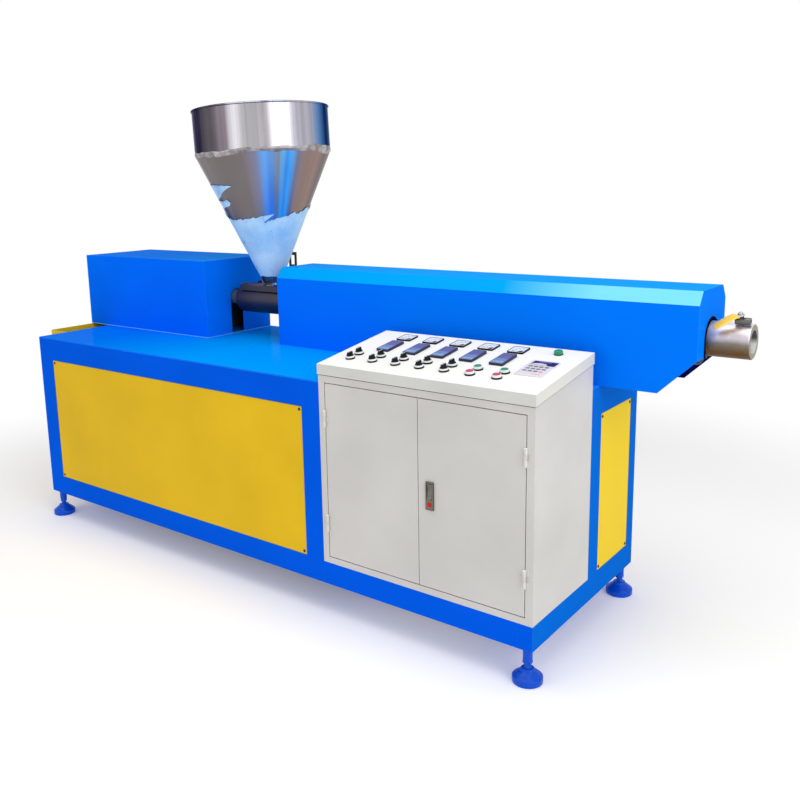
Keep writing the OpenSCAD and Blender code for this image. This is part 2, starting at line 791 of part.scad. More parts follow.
module mid_shaft() placed() color(bare_steel) {
    bar_x(lay_x0, lay_x1, lay_y, axis_z, shaft_d / 2);
    gear(stage_x[0], lay_y, axis_z, mid_gear_teeth, gear_w, mesh_turn(mid_gear_teeth));
    gear(stage_x[1], lay_y, axis_z, mid_pinion_teeth, gear_w, mesh_turn(mid_pinion_teeth));
}

module output_gear() placed() color(bare_steel)
    difference() {
        union() {
            bar_x(quill_x0, quill_x1, axis_back, axis_z, quill_d / 2);
            gear(stage_x[1], axis_back, axis_z, output_teeth, gear_w, 0);
        }
        bar_x(quill_x0 - cut, quill_x1 + cut, axis_back, axis_z, shank_d / 2 + fit);
    }

module bearings() placed() color(zinc) {
    small = [[lay_x0, lay_y], [lay_x1 - bearing_w, lay_y], [case_x + case_wall - bearing_w, axis_back],
        [web_x, axis_back]];
    for (b = small) ring_x(b[0], b[0] + bearing_w, b[1], axis_z, bearing_d / 2, shaft_d / 2 + fit);
    for (x = [quill_x0, case_x1 - big_bearing_w])
        ring_x(x, x + big_bearing_w, axis_back, axis_z, big_bearing_d / 2, quill_d / 2 + fit);
}

// Case in two halves, joined at the height of the shafts
module case_body() {
    difference() {
        block([case_x, case_y0, base_height], [case_x1, case_y1, case_top]);
        for (x = [case_x + case_wall, web_x + web_t])
            block([x, case_y0 + case_wall, base_height + case_wall],
                [x + inner_len, case_y1 - case_wall / 2, case_top - case_wall]);
        // Bearing seats, open towards the inside of the case
        bar_x(lay_x0, case_x + case_wall + cut, lay_y, axis_z, bearing_d / 2);
        bar_x(case_x1 - case_wall - cut, lay_x1, lay_y, axis_z, bearing_d / 2);
        bar_x(case_x + case_wall - bearing_w, case_x + case_wall + cut, axis_back, axis_z,
            bearing_d / 2);
        bar_x(web_x - cut, web_x + bearing_w, axis_back, axis_z, bearing_d / 2);
        bar_x(quill_x0, web_x + web_t + cut, axis_back, axis_z, big_bearing_d / 2);
        bar_x(case_x1 - big_bearing_w, case_x1 + cut, axis_back, axis_z, big_bearing_d / 2);
        // Clearance for the shafts
        bar_x(case_x - cut, case_x + case_wall, axis_back, axis_z, shaft_d / 2 + case_wall / 4);
        bar_x(web_x - cut, web_x + web_t + cut, lay_y, axis_z, shaft_d / 2 + case_wall / 4);
        bar_x(web_x, quill_x0 + cut, axis_back, axis_z, shank_d / 2 + case_wall / 4);
    }
}

module gearbox_case() placed() color(cast_grey) {
    span = [case_len + 2 * cut, case_y1 - case_y0 + 2 * cut, case_top - axis_z + cut];
    difference() {
        case_body();
        translate([case_x - cut, case_y0 - cut, axis_z]) cube(span);
    }
    intersection() {
        case_body();
        translate([case_x - cut, case_y0 - cut, axis_z]) cube(span);
    }
    // Thrust cap and neck that carry the barrel
    difference() {
        union() {
            bar_x(case_x1, case_x1 + flange_t, axis_back, axis_z, big_bearing_d * 0.7);
            bar_x(case_x1, barrel_x, axis_back, axis_z, neck_d / 2);
        }
        bar_x(case_x1 - cut, barrel_x + cut, axis_back, axis_z, shank_d / 2 + neck_wall_gap);
    }
}
neck_wall_gap = 5;

// Barrel, bored through, with a rear shoulder and a front flange
cover_gap = 30;
barrel_end = bar_cover_x1 - flange_t - cover_gap;
bore_r = screw_flight_d / 2 + flight_gap;
shoulder_r = 14;
throat_abs_x = barrel_x + throat_x;

module bolt_circle(x) {
    for (a = [0:360 / flange_bolts:359])
        translate([x, axis_back, axis_z]) rotate([a + 180 / flange_bolts, 0, 0])
            translate([0, 0, bolt_circle_r]) rotate([0, 90, 0]) children();
}
bolt_circle_r = (flange_d / 2 + barrel_d / 2) / 2;

module barrel() placed() color(dark_steel)
    difference() {
        union() {
            translate([barrel_x, axis_back, axis_z]) rotate([90, 0, 90]) rotate_extrude() {
                r = feed_d / 2;
                translate([0, shoulder_r]) square([r, feed_len - shoulder_r]);
                square([r - shoulder_r, shoulder_r]);
                translate([r - shoulder_r, shoulder_r]) intersection() {
                    circle(r = shoulder_r);
                    translate([0, -shoulder_r]) square(shoulder_r);
                }
            }
            bar_x(barrel_x + feed_len, barrel_end, axis_back, axis_z, barrel_d / 2);
            bar_x(barrel_end - flange_t, barrel_end, axis_back, axis_z, flange_d / 2);
        }
        bar_x(barrel_x - cut, barrel_end + cut, axis_back, axis_z, bore_r);
        translate([throat_abs_x, axis_back, axis_z])
            cylinder(h = feed_d, d = throat_d);
        bolt_circle(barrel_end - flange_t - cut) cylinder(h = flange_t + 2 * cut, d = flange_bolt_d);
        // Flat seat of the feed flange
        block([seat_x0, axis_back - feed_d, seat_z], [seat_x1, axis_back + feed_d,
            seat_z + feed_d]);
    }

// Screw: plain shank in the quill, flights in the barrel, and a cone at its tip
shank_x0 = quill_x0 + pass_gap;
flight_x0 = barrel_x + shoulder_r;
tip_len = screw_core_d * 0.9;
flight_len = barrel_end - flight_x0 - tip_len;
flight_width_share = 0.11;
slices_per_turn = 10;

// Section through core and flight
function screw_section() =
    let (half = 180 * flight_width_share, r = screw_flight_d / 2, c = screw_core_d / 2)
    concat([for (a = [-half, 0, half]) polar(r, a)],
        [for (k = [0:5]) polar(c, half + 10 + k * (340 - 2 * half) / 5)]);

module screw() placed() color(bare_steel) {
    turns = flight_len / flight_pitch;
    bar_x(shank_x0, flight_x0, axis_back, axis_z, shank_d / 2);
    translate([flight_x0, axis_back, axis_z]) rotate([90, 0, 90])
        linear_extrude(height = flight_len, twist = -360 * turns,
            slices = ceil(turns * slices_per_turn), $fn = 9) polygon(screw_section());
    translate([flight_x0 + flight_len, axis_back, axis_z]) rotate([90, 0, 90])
        cylinder(h = tip_len, d1 = screw_core_d * 0.9, d2 = screw_core_d * 0.12);
}

// Feed flange: a pad that sits on a flat of the barrel, with a slot for the gate
feed_top_z = axis_z + feed_flange_up;
feed_bolt_d = 14;
seat_x0 = throat_abs_x - feed_flange_len / 2;
seat_x1 = bar_cover_x - notch_gap;
seat_drop = 12;
seat_z = axis_z + feed_d / 2 - seat_drop;
gate_floor = 4;
gate_z0 = seat_z + gate_floor;
guide_out = blade_w / 2 + 1.5 * gate_floor;
guide_len = 24;
blade_y0 = axis_back + throat_d / 2 + cut;

// Slot that the blade slides in
module gate_slot(y0, y1) {
    block([throat_abs_x - blade_w / 2 - fit, y0, gate_z0 - fit],
        [throat_abs_x + blade_w / 2 + fit, y1, gate_z0 + blade_t + fit]);
}

module feed_flange() placed() color(dark_steel) {
    difference() {
        block([seat_x0 + fit, axis_back - feed_flange_w / 2, feed_top_z - feed_flange_t],
            [seat_x1 - fit, axis_back + feed_flange_w / 2, feed_top_z]);
        difference() {
            bar_x(barrel_x, barrel_x + feed_len, axis_back, axis_z, feed_d / 2);
            block([barrel_x - cut, axis_back - feed_d, seat_z],
                [barrel_x + feed_len + cut, axis_back + feed_d, seat_z + feed_d]);
        }
        translate([throat_abs_x, axis_back, axis_z]) cylinder(h = feed_d, d = throat_d);
        gate_slot(blade_y0 - gate_travel - pass_gap, axis_back + feed_flange_w);
    }
    // Bolt heads in the flange's corners
    for (x = [seat_x0 + 1.5 * feed_bolt_d, seat_x1 - 1.5 * feed_bolt_d]) for (s = [-1, 1])
        translate([x, axis_back + s * (feed_flange_w / 2 - feed_bolt_d), feed_top_z])
            cylinder(h = feed_bolt_d * 0.6, d = feed_bolt_d * 1.6, $fn = 6);
}

// Guide behind the flange, for the drawn blade
module gate_frame() placed() color(bare_steel) {
    y0 = axis_back + feed_flange_w / 2;
    difference() {
        block([throat_abs_x - guide_out, y0, gate_z0 - gate_floor],
            [throat_abs_x + guide_out, y0 + guide_len, gate_z0 + blade_t + gate_floor]);
        gate_slot(y0 - cut, y0 + guide_len + cut);
        block([throat_abs_x - blade_w / 3, y0 - cut, gate_z0], [throat_abs_x + blade_w / 3,
            y0 + guide_len + cut, gate_z0 + blade_t + gate_floor + cut]);
    }
}

// The gate is stored open: its blade is drawn back behind the throat
handle_up = 140;
handle_w = 44;
handle_off = 34;
handle_run = 70;
handle_tail = 12;

module slide_gate() placed() color(stainless) {
    y1 = blade_y0 + gate_travel + handle_run;
    block([throat_abs_x - blade_w / 2, blade_y0, gate_z0], [throat_abs_x + blade_w / 2, y1,
        gate_z0 + blade_t]);
    x0 = throat_abs_x - handle_off - handle_w / 2;
    block([x0, y1 - handle_tail, gate_z0], [throat_abs_x, y1, gate_z0 + blade_t]);
    difference() {
        block([x0, y1 - blade_t, gate_z0], [x0 + handle_w, y1, gate_z0 + handle_up]);
        block([x0 + handle_w / 4, y1 - blade_t - cut, gate_z0 + handle_up * 0.6],
            [x0 + handle_w * 0.75, y1 + cut, gate_z0 + handle_up * 0.9]);
    }
}

// Hopper: a leaning cone, welded to a level foot ring, and a straight rim
cone_z = feed_top_z;
foot_ring_t = 4;

module leaning() {
    translate([throat_abs_x, axis_back, cone_z + foot_ring_t / 2]) rotate([0, -hopper_lean, 0])
        children();
}

// Cone from its outlet to its rim
module cone_solid(r0, r1) {
    cylinder(h = cone_h, r1 = r0, r2 = r1, $fn = 96);
}

module hopper_cone() placed() color(stainless) {
    difference() {
        union() {
            leaning() cone_solid(outlet_d / 2, rim_d / 2);
            translate([throat_abs_x, axis_back, cone_z])
                cylinder(h = foot_ring_t, d = outlet_d + 4.5 * foot_ring_t);
        }
        leaning() {
            cone_solid(outlet_d / 2 - hopper_t, rim_d / 2 - hopper_t);
            translate([0, 0, cone_h - cut]) cylinder(h = 2 * cut, r = rim_d / 2 - hopper_t);
        }
        translate([throat_abs_x, axis_back, cone_z - foot_ring_t])
            cylinder(h = 2 * foot_ring_t, d = outlet_d - 2 * hopper_t);
    }
}

module hopper_rim() placed() color(stainless)
    leaning() translate([0, 0, cone_h]) {
        ring_z(rim_h, rim_d / 2, rim_d / 2 - hopper_t, $fn = 96);
        // Rolled edge
        translate([0, 0, rim_h]) rotate_extrude($fn = 96) translate([rim_d / 2, 0])
            circle(r = rim_edge_r, $fn = 24);
    }

// Heater bands with their clamps and terminal boxes
heater_x0 = barrel_x + feed_len + heater_gap;
heater_pitch = (barrel_end - flange_t - heater_end - heater_w - heater_x0) / (heater_count - 1);
clamp_gap = 6;
clamp_w = 14;

module heater_bands() placed() color(stainless)
    for (k = [0:heater_count - 1]) {
        x = heater_x0 + k * heater_pitch;
        r = barrel_d / 2 + heater_t;
        difference() {
            union() {
                bar_x(x, x + heater_w, axis_back, axis_z, r);
                block([x, axis_back - clamp_gap / 2 - clamp_w, axis_z - r - clamp_w],
                    [x + heater_w, axis_back + clamp_gap / 2 + clamp_w, axis_z - r + heater_t / 2]);
                block([x + heater_w * 0.35, axis_back - clamp_w * 2, axis_z + r - heater_t / 2],
                    [x + heater_w * 0.65, axis_back + clamp_w * 2, axis_z + r + heater_t * 2]);
            }
            bar_x(x - cut, x + heater_w + cut, axis_back, axis_z, barrel_d / 2);
            block([x - cut, axis_back - clamp_gap / 2, axis_z - r - clamp_w - cut],
                [x + heater_w + cut, axis_back + clamp_gap / 2, axis_z]);
        }
    }

// Thermocouples: sleeves that stand on the barrel between two bands
probe_d = 12;
probe_h = 46;

module thermocouples() placed() color(zinc)
    for (k = [0:heater_count - 1]) {
        x = heater_x0 + k * heater_pitch + heater_w + (heater_pitch - heater_w) / 2;
        difference() {
            translate([x, axis_back, axis_z]) cylinder(h = barrel_d / 2 + probe_h, d = probe_d);
            bar_x(x - probe_d, x + probe_d, axis_back, axis_z, barrel_d / 2);
        }
    }

// Barrel supports: a foot, an upright and a saddle
support_w = 110;
support_t = 40;
support_x = [barrel_x + feed_len + support_t / 4,
    heater_x0 + (heater_count - 1) * heater_pitch - (heater_pitch - heater_w + support_t) / 2];

module barrel_supports() placed() color(blue)
    for (k = [0, 1]) {
        x = support_x[k];
        r = barrel_d / 2;
        difference() {
            union() {
                block([x - support_t / 2, axis_back - support_w, base_height],
                    [x + support_t * 1.5, axis_back + support_w, base_height + support_t / 3]);
                block([x, axis_back - support_w * 0.6, base_height],
                    [x + support_t, axis_back + support_w * 0.6, axis_z - r / 2]);
            }
            bar_x(x - support_t, x + 2 * support_t, axis_back, axis_z, r);
        }
    }

// Barrel cover: a bevelled shell, open below
module cover_profile(t) {
    h = bar_cover_w / 2 - t;
    polygon([[-h, -t * cut_share], [-h, bar_cover_side - t * bevel_tan], [-h + bar_cover_bevel - t *
        bevel_tan, bar_cover_top - t], [h - bar_cover_bevel + t * bevel_tan, bar_cover_top - t],
        [h, bar_cover_side - t * bevel_tan], [h, -t * cut_share]]);
}
cut_share = 1;
bevel_tan = tan(atan2(bar_cover_top - bar_cover_side, bar_cover_bevel) / 2);

module barrel_cover() placed() color(blue)
    difference() {
        translate([bar_cover_x, axis_back, base_height]) rotate([90, 0, 90])
            linear_extrude(bar_cover_len) cover_profile(0);
        translate([bar_cover_x + sheet_t, axis_back, base_height]) rotate([90, 0, 90])
            linear_extrude(bar_cover_len - 2 * sheet_t) cover_profile(sheet_t);
        // Slanted cut
        translate([0, axis_back + bar_cover_w, base_height]) rotate([90, 0, 0])
            linear_extrude(2 * bar_cover_w) polygon([[bar_cover_x1 - slant_run, 0],
                [bar_cover_x1 - slant_run, -cut], [bar_cover_x1 + cut, -cut],
                [bar_cover_x1 + cut, slant_rise], [bar_cover_x1, slant_rise]]);
        // Notches for the adapter and the feed section
        bar_x(bar_cover_x1 - sheet_t - cut, bar_cover_x1 + cut, axis_back, axis_z,
            adapter_d / 2 + notch_gap);
        block([bar_cover_x1 - sheet_t - cut, axis_back - adapter_d / 2 - notch_gap, base_height],
            [bar_cover_x1 + cut, axis_back + adapter_d / 2 + notch_gap, axis_z]);
        bar_x(bar_cover_x - cut, bar_cover_x + sheet_t + cut, axis_back, axis_z,
            feed_d / 2 + notch_gap);
        block([bar_cover_x - cut, axis_back - feed_d / 2 - notch_gap, base_height - cut],
            [bar_cover_x + sheet_t + cut, axis_back + feed_d / 2 + notch_gap, axis_z]);
    }

// Die adapter: a flange, and a nose with a stepped way through
nose_len = adapter_end - barrel_end;
groove_x = adapter_len * 0.93;
groove_depth = 1.2;

module die_adapter() placed() color(bare_steel) {
    difference() {
        translate([barrel_end, axis_back, axis_z]) rotate([90, 0, 90]) rotate_extrude($fn = 96)
            polygon([[bore_r, 0], [flange_d / 2, 0], [flange_d / 2, flange_t],
                [adapter_d / 2, flange_t], [adapter_d / 2, nose_len - groove_x],
                [adapter_d / 2 - groove_depth, nose_len - groove_x],
                [adapter_d / 2 - groove_depth, nose_len - groove_x + groove_depth],
                [adapter_d / 2, nose_len - groove_x + groove_depth],
                [adapter_d / 2, nose_len - 2 * groove_depth],
                [adapter_d / 2 - 2 * groove_depth, nose_len], [mouth_d / 2, nose_len],
                [mouth_d / 2, nose_len - mouth_len], [bore_r, flange_t]]);
        bolt_circle(barrel_end - cut) cylinder(h = flange_t + 2 * cut, d = flange_bolt_d);
        on_valve() cylinder(h = adapter_d / 2 + cut, d = nipple_d + 2 * fit);
    }
    // Flange bolts with their nuts
    bolt_circle(barrel_end - flange_t) cylinder(h = 2 * flange_t, d = flange_bolt_d - 2 * fit);
    for (x = [barrel_end - flange_t - flange_bolt_d * 0.6, barrel_end + flange_t])
        bolt_circle(x) cylinder(h = flange_bolt_d * 0.6, d = flange_bolt_d * 1.7, $fn = 6);
}

// Valve: a nipple in the adapter, a round body, and a stem for the lever
valve_x = adapter_end - valve_back;
nipple_d = 14;
valve_gap = 2;
body_up = adapter_d / 2 + valve_d / 2 + valve_gap;
hub_up = body_up + valve_d / 2 + 1.5 * valve_gap;
hub_d = 20;

module on_valve() {
    translate([valve_x, axis_back, axis_z]) rotate([valve_tilt, 0, 0]) children();
}

module valve_body() placed() color(bare_steel) on_valve() {
    difference() {
        union() {
            translate([0, 0, adapter_d / 2 - 2 * nipple_d / 3])
                cylinder(h = body_up - adapter_d / 2 + nipple_d / 3, d = nipple_d);
            translate([-valve_len * 0.35, 0, body_up]) rotate([0, 90, 0])
                cylinder(h = valve_len, d = valve_d);
            translate([0, 0, body_up]) cylinder(h = hub_up - body_up, d = stem_d * 2);
        }
        // Blind bore that the stem turns in
        translate([0, 0, body_up]) cylinder(h = hub_up, d = stem_d + 2 * fit);
        // Outlet at the end of the body
        translate([0, 0, body_up]) rotate([0, 90, 0]) cylinder(h = valve_len, d = valve_d * 0.5);
    }
}

module valve_handle() placed() color(yellow) on_valve() {
    translate([0, 0, body_up + 2 * fit]) cylinder(h = hub_up - body_up + nut_up, d = stem_d);
    translate([0, 0, hub_up + pass_gap]) {
        cylinder(h = lever_t, d = hub_d);
        rotate([0, 0, 180 + lever_turn]) {
            translate([0, -lever_w / 2, 0]) cube([lever_len - lever_w / 2, lever_w, lever_t]);
            translate([lever_len - lever_w / 2, 0, 0]) cylinder(h = lever_t, d = lever_w);
        }
        translate([0, 0, lever_t]) cylinder(h = stem_d * 0.6, d = stem_d * 1.6, $fn = 6);
    }
}
nut_up = stem_d;

// Cabinet
cab_sheet = 1.5;
lid_t = 2;
lid_front_z = base_height + lid_front_up;
lid_back_z = base_height + lid_back_up;
lid_slope = atan2(lid_back_up - lid_front_up, cab_depth);
body_front_top = lid_front_z - lid_t / cos(lid_slope);
body_back_top = lid_back_z - lid_t / cos(lid_slope);
door_x0 = cab_x + stile_w;
door_x1 = base_len - stile_w;
door_z0 = low_face + sill_h;
door_z1 = body_front_top - lid_lip - head_h + lid_t;
door_split = (door_x0 + door_x1) / 2;

// Side outline of the cabinet, shrunk by t
module cabinet_outline(t, y_front) {
    polygon([[y_front, low_face + t], [cab_depth - t, low_face + t],
        [cab_depth - t, body_back_top + cut * t], [y_front, body_front_top + cut * t]]);
}

module cabinet_body() placed() color(cabinet_white)
    difference() {
        translate([cab_x, 0, 0]) rotate([90, 0, 90]) linear_extrude(cab_len)
            cabinet_outline(0, 0);
        translate([cab_x + cab_sheet, 0, 0]) rotate([90, 0, 90])
            linear_extrude(cab_len - 2 * cab_sheet) cabinet_outline(cab_sheet, cab_sheet);
        // Doorway
        block([door_x0 - door_gap, -cut, door_z0 - door_gap],
            [door_x1 + door_gap, cab_sheet + cut, door_z1 + door_gap]);
        // Hole for the mains gland
        translate([gland_x, gland_y, low_face - cut]) cylinder(h = cab_sheet + 2 * cut, d = gland_d);
    }
gland_d = 32;
gland_x = cab_x + cab_len / 2;
gland_y = cab_depth * 0.7;

// Places a piece on the lid: u from the cabinet's left edge, v up the slope from its front
module on_lid(u, v) {
    translate([cab_x + u, 0, lid_front_z]) rotate([lid_slope, 0, 0]) translate([u * 0, v, 0])
        children();
}

lid_over = lid_t + lid_gap;
zone_u = [for (k = [0:zone_count - 1]) zone_first + k * zone_pitch];
rotary_places = [for (v = [front_row, back_row]) for (k = [0:switch_count - 1])
    [switch_first + k * switch_pitch, v]];
button_places = [for (k = [0, 1]) for (v = [front_row, back_row])
    [switch_first + (switch_count + k) * switch_pitch, v]];
switch_places = concat(rotary_places, button_places);
thread_d = 22;
window_share = 0.9;

module cabinet_lid() placed() color(cabinet_white)
    difference() {
        translate([cab_x - lid_over, 0, 0]) rotate([90, 0, 90])
            linear_extrude(cab_len + 2 * lid_over) polygon([[-lid_over, rim_low(-lid_over)],
                [cab_depth + lid_over, rim_low(cab_depth + lid_over)],
                [cab_depth + lid_over, lid_high(cab_depth + lid_over)],
                [-lid_over, lid_high(-lid_over)]]);
        translate([cab_x - lid_gap, 0, 0]) rotate([90, 0, 90])
            linear_extrude(cab_len + 2 * lid_gap) polygon([[-lid_gap, rim_low(-lid_gap) - cut],
                [cab_depth + lid_gap, rim_low(cab_depth + lid_gap) - cut],
                [cab_depth + lid_gap, lid_high(cab_depth + lid_gap) - lid_t / cos(lid_slope)],
                [-lid_gap, lid_high(-lid_gap) - lid_t / cos(lid_slope)]]);
        for (p = switch_places) on_lid(p[0], p[1]) lid_hole(thread_d + 2 * pass_gap);
        on_lid(lamp_x, lamp_row) lid_hole(thread_d + 2 * pass_gap);
        for (u = zone_u) {
            on_lid(u, meter_row) lid_window(meter_w * window_share, meter_w * window_share);
            on_lid(u, controller_row)
                lid_window(controller_w * window_share, controller_l * window_share);
        }
        on_lid(keypad_x, keypad_row) lid_window(keypad_w * window_share, keypad_l * window_share);
    }

function lid_high(y) = lid_front_z + y * tan(lid_slope);
function rim_low(y) = lid_high(y) - lid_lip;

module lid_hole(d) {
    translate([0, 0, -lid_t - cut]) cylinder(h = lid_t + 2 * cut, d = d);
}

module lid_window(w, l) {
    translate([-w / 2, -l / 2, -lid_t - cut]) cube([w, l, lid_t + 2 * cut]);
}

// Instrument: a bezel on the lid and a case through the window
module instrument(w, l, t, case_h) {
    translate([-w / 2, -l / 2, 0]) cube([w, l, t]);
    cw = w * window_share - 2 * pass_gap;
    cl = l * window_share - 2 * pass_gap;
    translate([-cw / 2, -cl / 2, -case_h]) cube([cw, cl, case_h]);
}
meter_case_h = 50;
controller_case_h = 75;
keypad_case_h = 20;

module ammeters() placed() color(black)
    for (u = zone_u) on_lid(u, meter_row) instrument(meter_w, meter_w, instrument_t, meter_case_h);

module temperature_controllers() placed() color([0.12, 0.14, 0.3])
    for (u = zone_u) on_lid(u, controller_row)
        instrument(controller_w, controller_l, instrument_t, controller_case_h);

module inverter_keypad() placed() color([0.75, 0.76, 0.78])
    on_lid(keypad_x, keypad_row) instrument(keypad_w, keypad_l, instrument_t, keypad_case_h);

// Fixed part of a switch: bezel, threaded neck, and contact block under the lid
stem_r = 6;
block_w = 30;
block_h = 34;

module switch_body(bore_r) {
    difference() {
        union() {
            cylinder(h = bezel_h, d1 = bezel_d, d2 = bezel_d * 0.92);
            translate([0, 0, -lid_t - neck_len]) cylinder(h = lid_t + neck_len, d = thread_d);
            translate([-block_w / 2, -block_w / 2, -lid_t - neck_len - block_h])
                cube([block_w, block_w, block_h]);
        }
        translate([0, 0, -lid_t]) cylinder(h = lid_t + bezel_h + cut, r = bore_r);
        translate([0, 0, -lid_t - neck_len]) cylinder(h = neck_len + cut, r = stem_r + fit);
    }
}
neck_len = 10;

module switch_bezels() placed() color([0.65, 0.66, 0.68]) {
    for (p = rotary_places) on_lid(p[0], p[1]) switch_body(stem_r + fit);
    for (p = button_places) on_lid(p[0], p[1]) switch_body(cap_d / 2 + fit - thread_wall);
}
thread_wall = 2;

// Rotary knob: a stem, a round skirt and a lever
knob_d = 25;
knob_skirt_h = 5;
lever_l = 30;
knob_lever_w = 8;
knob_lever_h = 12;

module switch_knob(k) placed() color(black) on_lid(rotary_places[k][0], rotary_places[k][1]) {
    translate([0, 0, -lid_t - neck_len + pass_gap])
        cylinder(h = lid_t + neck_len + bezel_h, r = stem_r);
    translate([0, 0, bezel_h + pass_gap]) {
        cylinder(h = knob_skirt_h, d = knob_d);
        translate([-knob_lever_w / 2, -lever_l / 2, 0])
            cube([knob_lever_w, lever_l, knob_lever_h]);
    }
}

// Push button: a cap that dips into its bezel, on a stem
cap_r = cap_d / 2 - thread_wall;
cap_up = 4;

module push_button(k, shade) placed() color(shade)
    on_lid(button_places[k][0], button_places[k][1]) {
        translate([0, 0, button_travel - lid_t + pass_gap])
            cylinder(h = bezel_h + lid_t + cap_up - pass_gap - button_travel, r = cap_r);
        translate([0, 0, button_travel + pass_gap - lid_t - neck_len])
            cylinder(h = neck_len, r = stem_r);
    }

// Pilot lamp: a bezel and a domed lens
module pilot_lamp() placed() color([0.1, 0.6, 0.4]) on_lid(lamp_x, lamp_row) {
    cylinder(h = bezel_h / 2, d = bezel_d);
    translate([0, 0, -lid_t - neck_len]) cylinder(h = lid_t + neck_len, d = thread_d);
    intersection() {
        translate([0, 0, bezel_h / 2 - dome_sink]) sphere(d = bezel_d * 0.92);
        translate([0, 0, bezel_h / 2]) cylinder(h = bezel_d, d = bezel_d);
    }
}
dome_sink = 4;

// Doors: folded pans, with a knuckle for each hinge
hinge_y = -hinge_d / 2 - pass_gap;
hinge_zs = [door_z0 + hinge_inset, door_z1 - hinge_inset];
knuckle_h = hinge_h / 3;
leaf_w = 13;
leaf_t = 2;
knuckle_gap = 0.4;

module door_pan(x0, x1) {
    difference() {
        block([x0, 0, door_z0], [x1, door_t, door_z1]);
        block([x0 + cab_sheet, cab_sheet, door_z0 + cab_sheet],
            [x1 - cab_sheet, door_t + cut, door_z1 - cab_sheet]);
    }
}

// Middle knuckle of a hinge; side is the way to the door
module door_knuckle(x, z, side) {
    h = knuckle_h - 2 * knuckle_gap;
    difference() {
        translate([x, hinge_y, z - h / 2]) cylinder(h = h, d = hinge_d);
        translate([x, hinge_y, z - h]) cylinder(h = 2 * h, d = hinge_pin_d + 2 * fit);
    }
    difference() {
        block([min(x, x + side * leaf_w), -leaf_t, z - h / 2],
            [max(x, x + side * leaf_w), 0, z + h / 2]);
        translate([x, hinge_y, z - h]) cylinder(h = 2 * h, d = hinge_d - leaf_t);
    }
}

left_pin_x = door_x0 - door_gap / 2;
right_pin_x = door_x1 + door_gap / 2;

module left_door() placed() color(cabinet_white) {
    door_pan(door_x0, door_split - door_gap / 2);
    for (z = hinge_zs) door_knuckle(left_pin_x, z, 1);
}

lock_x = door_split + lock_inset;
lock_z = door_z0 + lock_up;
lock_rim = 4;
pocket_w = lock_w - 2 * lock_rim;
pocket_top = lock_z + lock_h / 2 - lock_rim;
pocket_h = lock_h * 0.58;
lock_button_z = lock_z - lock_h / 2 + lock_button_d / 2 + 2.5 * lock_rim;

module right_door() placed() color(cabinet_white) {
    difference() {
        door_pan(door_split + door_gap / 2, door_x1);
        block([lock_x - pocket_w / 2, -cut, lock_button_z - lock_button_d / 2],
            [lock_x + pocket_w / 2, cab_sheet + cut, pocket_top]);
    }
    for (z = hinge_zs) door_knuckle(right_pin_x, z, -1);
}

module door_hinges() placed() color(cabinet_white)
    for (x = [left_pin_x, right_pin_x]) for (z = hinge_zs) {
        side = x < door_split ? -1 : 1;
        translate([x, hinge_y, z - hinge_h / 2]) cylinder(h = hinge_h, d = hinge_pin_d);
        for (s = [-1, 1]) {
            z0 = z + s * knuckle_h - knuckle_h / 2;
            translate([x, hinge_y, z0]) cylinder(h = knuckle_h, d = hinge_d);
            block([min(x, x + side * leaf_w), -leaf_t, z0],
                [max(x, x + side * leaf_w), 0, z0 + knuckle_h]);
        }
    }

// Lock: a housing with a pocket, a lever and a button
lever_pin_d = 4;
lock_pin_z = pocket_top - 1.25 * lock_rim;
lock_pin_y = -lock_t / 2;

module lock_housing() placed() color(zinc)
    difference() {
        block([lock_x - lock_w / 2, -lock_t, lock_z - lock_h / 2],
            [lock_x + lock_w / 2, 0, lock_z + lock_h / 2]);
        block([lock_x - pocket_w / 2, -lock_t - cut, pocket_top - pocket_h],
            [lock_x + pocket_w / 2, cut, pocket_top]);
        translate([lock_x, cut, lock_button_z]) rotate([90, 0, 0])
            cylinder(h = lock_t + 2 * cut, r = lock_button_d / 2 + fit);
        bar_x(lock_x - lock_w / 2 - cut, lock_x + lock_w / 2 + cut, lock_pin_y, lock_pin_z,
            lever_pin_d / 2 + fit);
    }

module lock_handle() placed() color(zinc) {
    w = pocket_w - 2 * pass_gap;
    bar_x(lock_x - lock_w / 2, lock_x + lock_w / 2, lock_pin_y, lock_pin_z, lever_pin_d / 2);
    bar_x(lock_x - w / 2, lock_x + w / 2, lock_pin_y, lock_pin_z, lock_t / 2 - pass_gap);
    block([lock_x - w / 2, -lock_t + pass_gap, pocket_top - pocket_h + pass_gap],
        [lock_x + w / 2, -pass_gap, lock_pin_z]);
}

lock_button_up = 2.5;
lock_button_travel = 3;

module lock_button() placed() color([0.75, 0.08, 0.08])
    translate([lock_x, -pass_gap - lock_button_travel, lock_button_z]) rotate([90, 0, 0])
        cylinder(h = lock_t + lock_button_up - lock_button_travel, d = lock_button_d);

// Switchgear on its mounting plate, inside the cabinet
gear_plate_t = 3;
gear_plate_gap = 12;
gear_plate_y = cab_depth - cab_sheet - gear_plate_gap;
drive_w = 190;
drive_h = 300;
drive_d = 150;
contactor_w = 54;
contactor_h = 80;
contactor_d = 85;
contactor_count = 6;
breaker_w = 105;
strip_h = 48;
strip_d = 40;

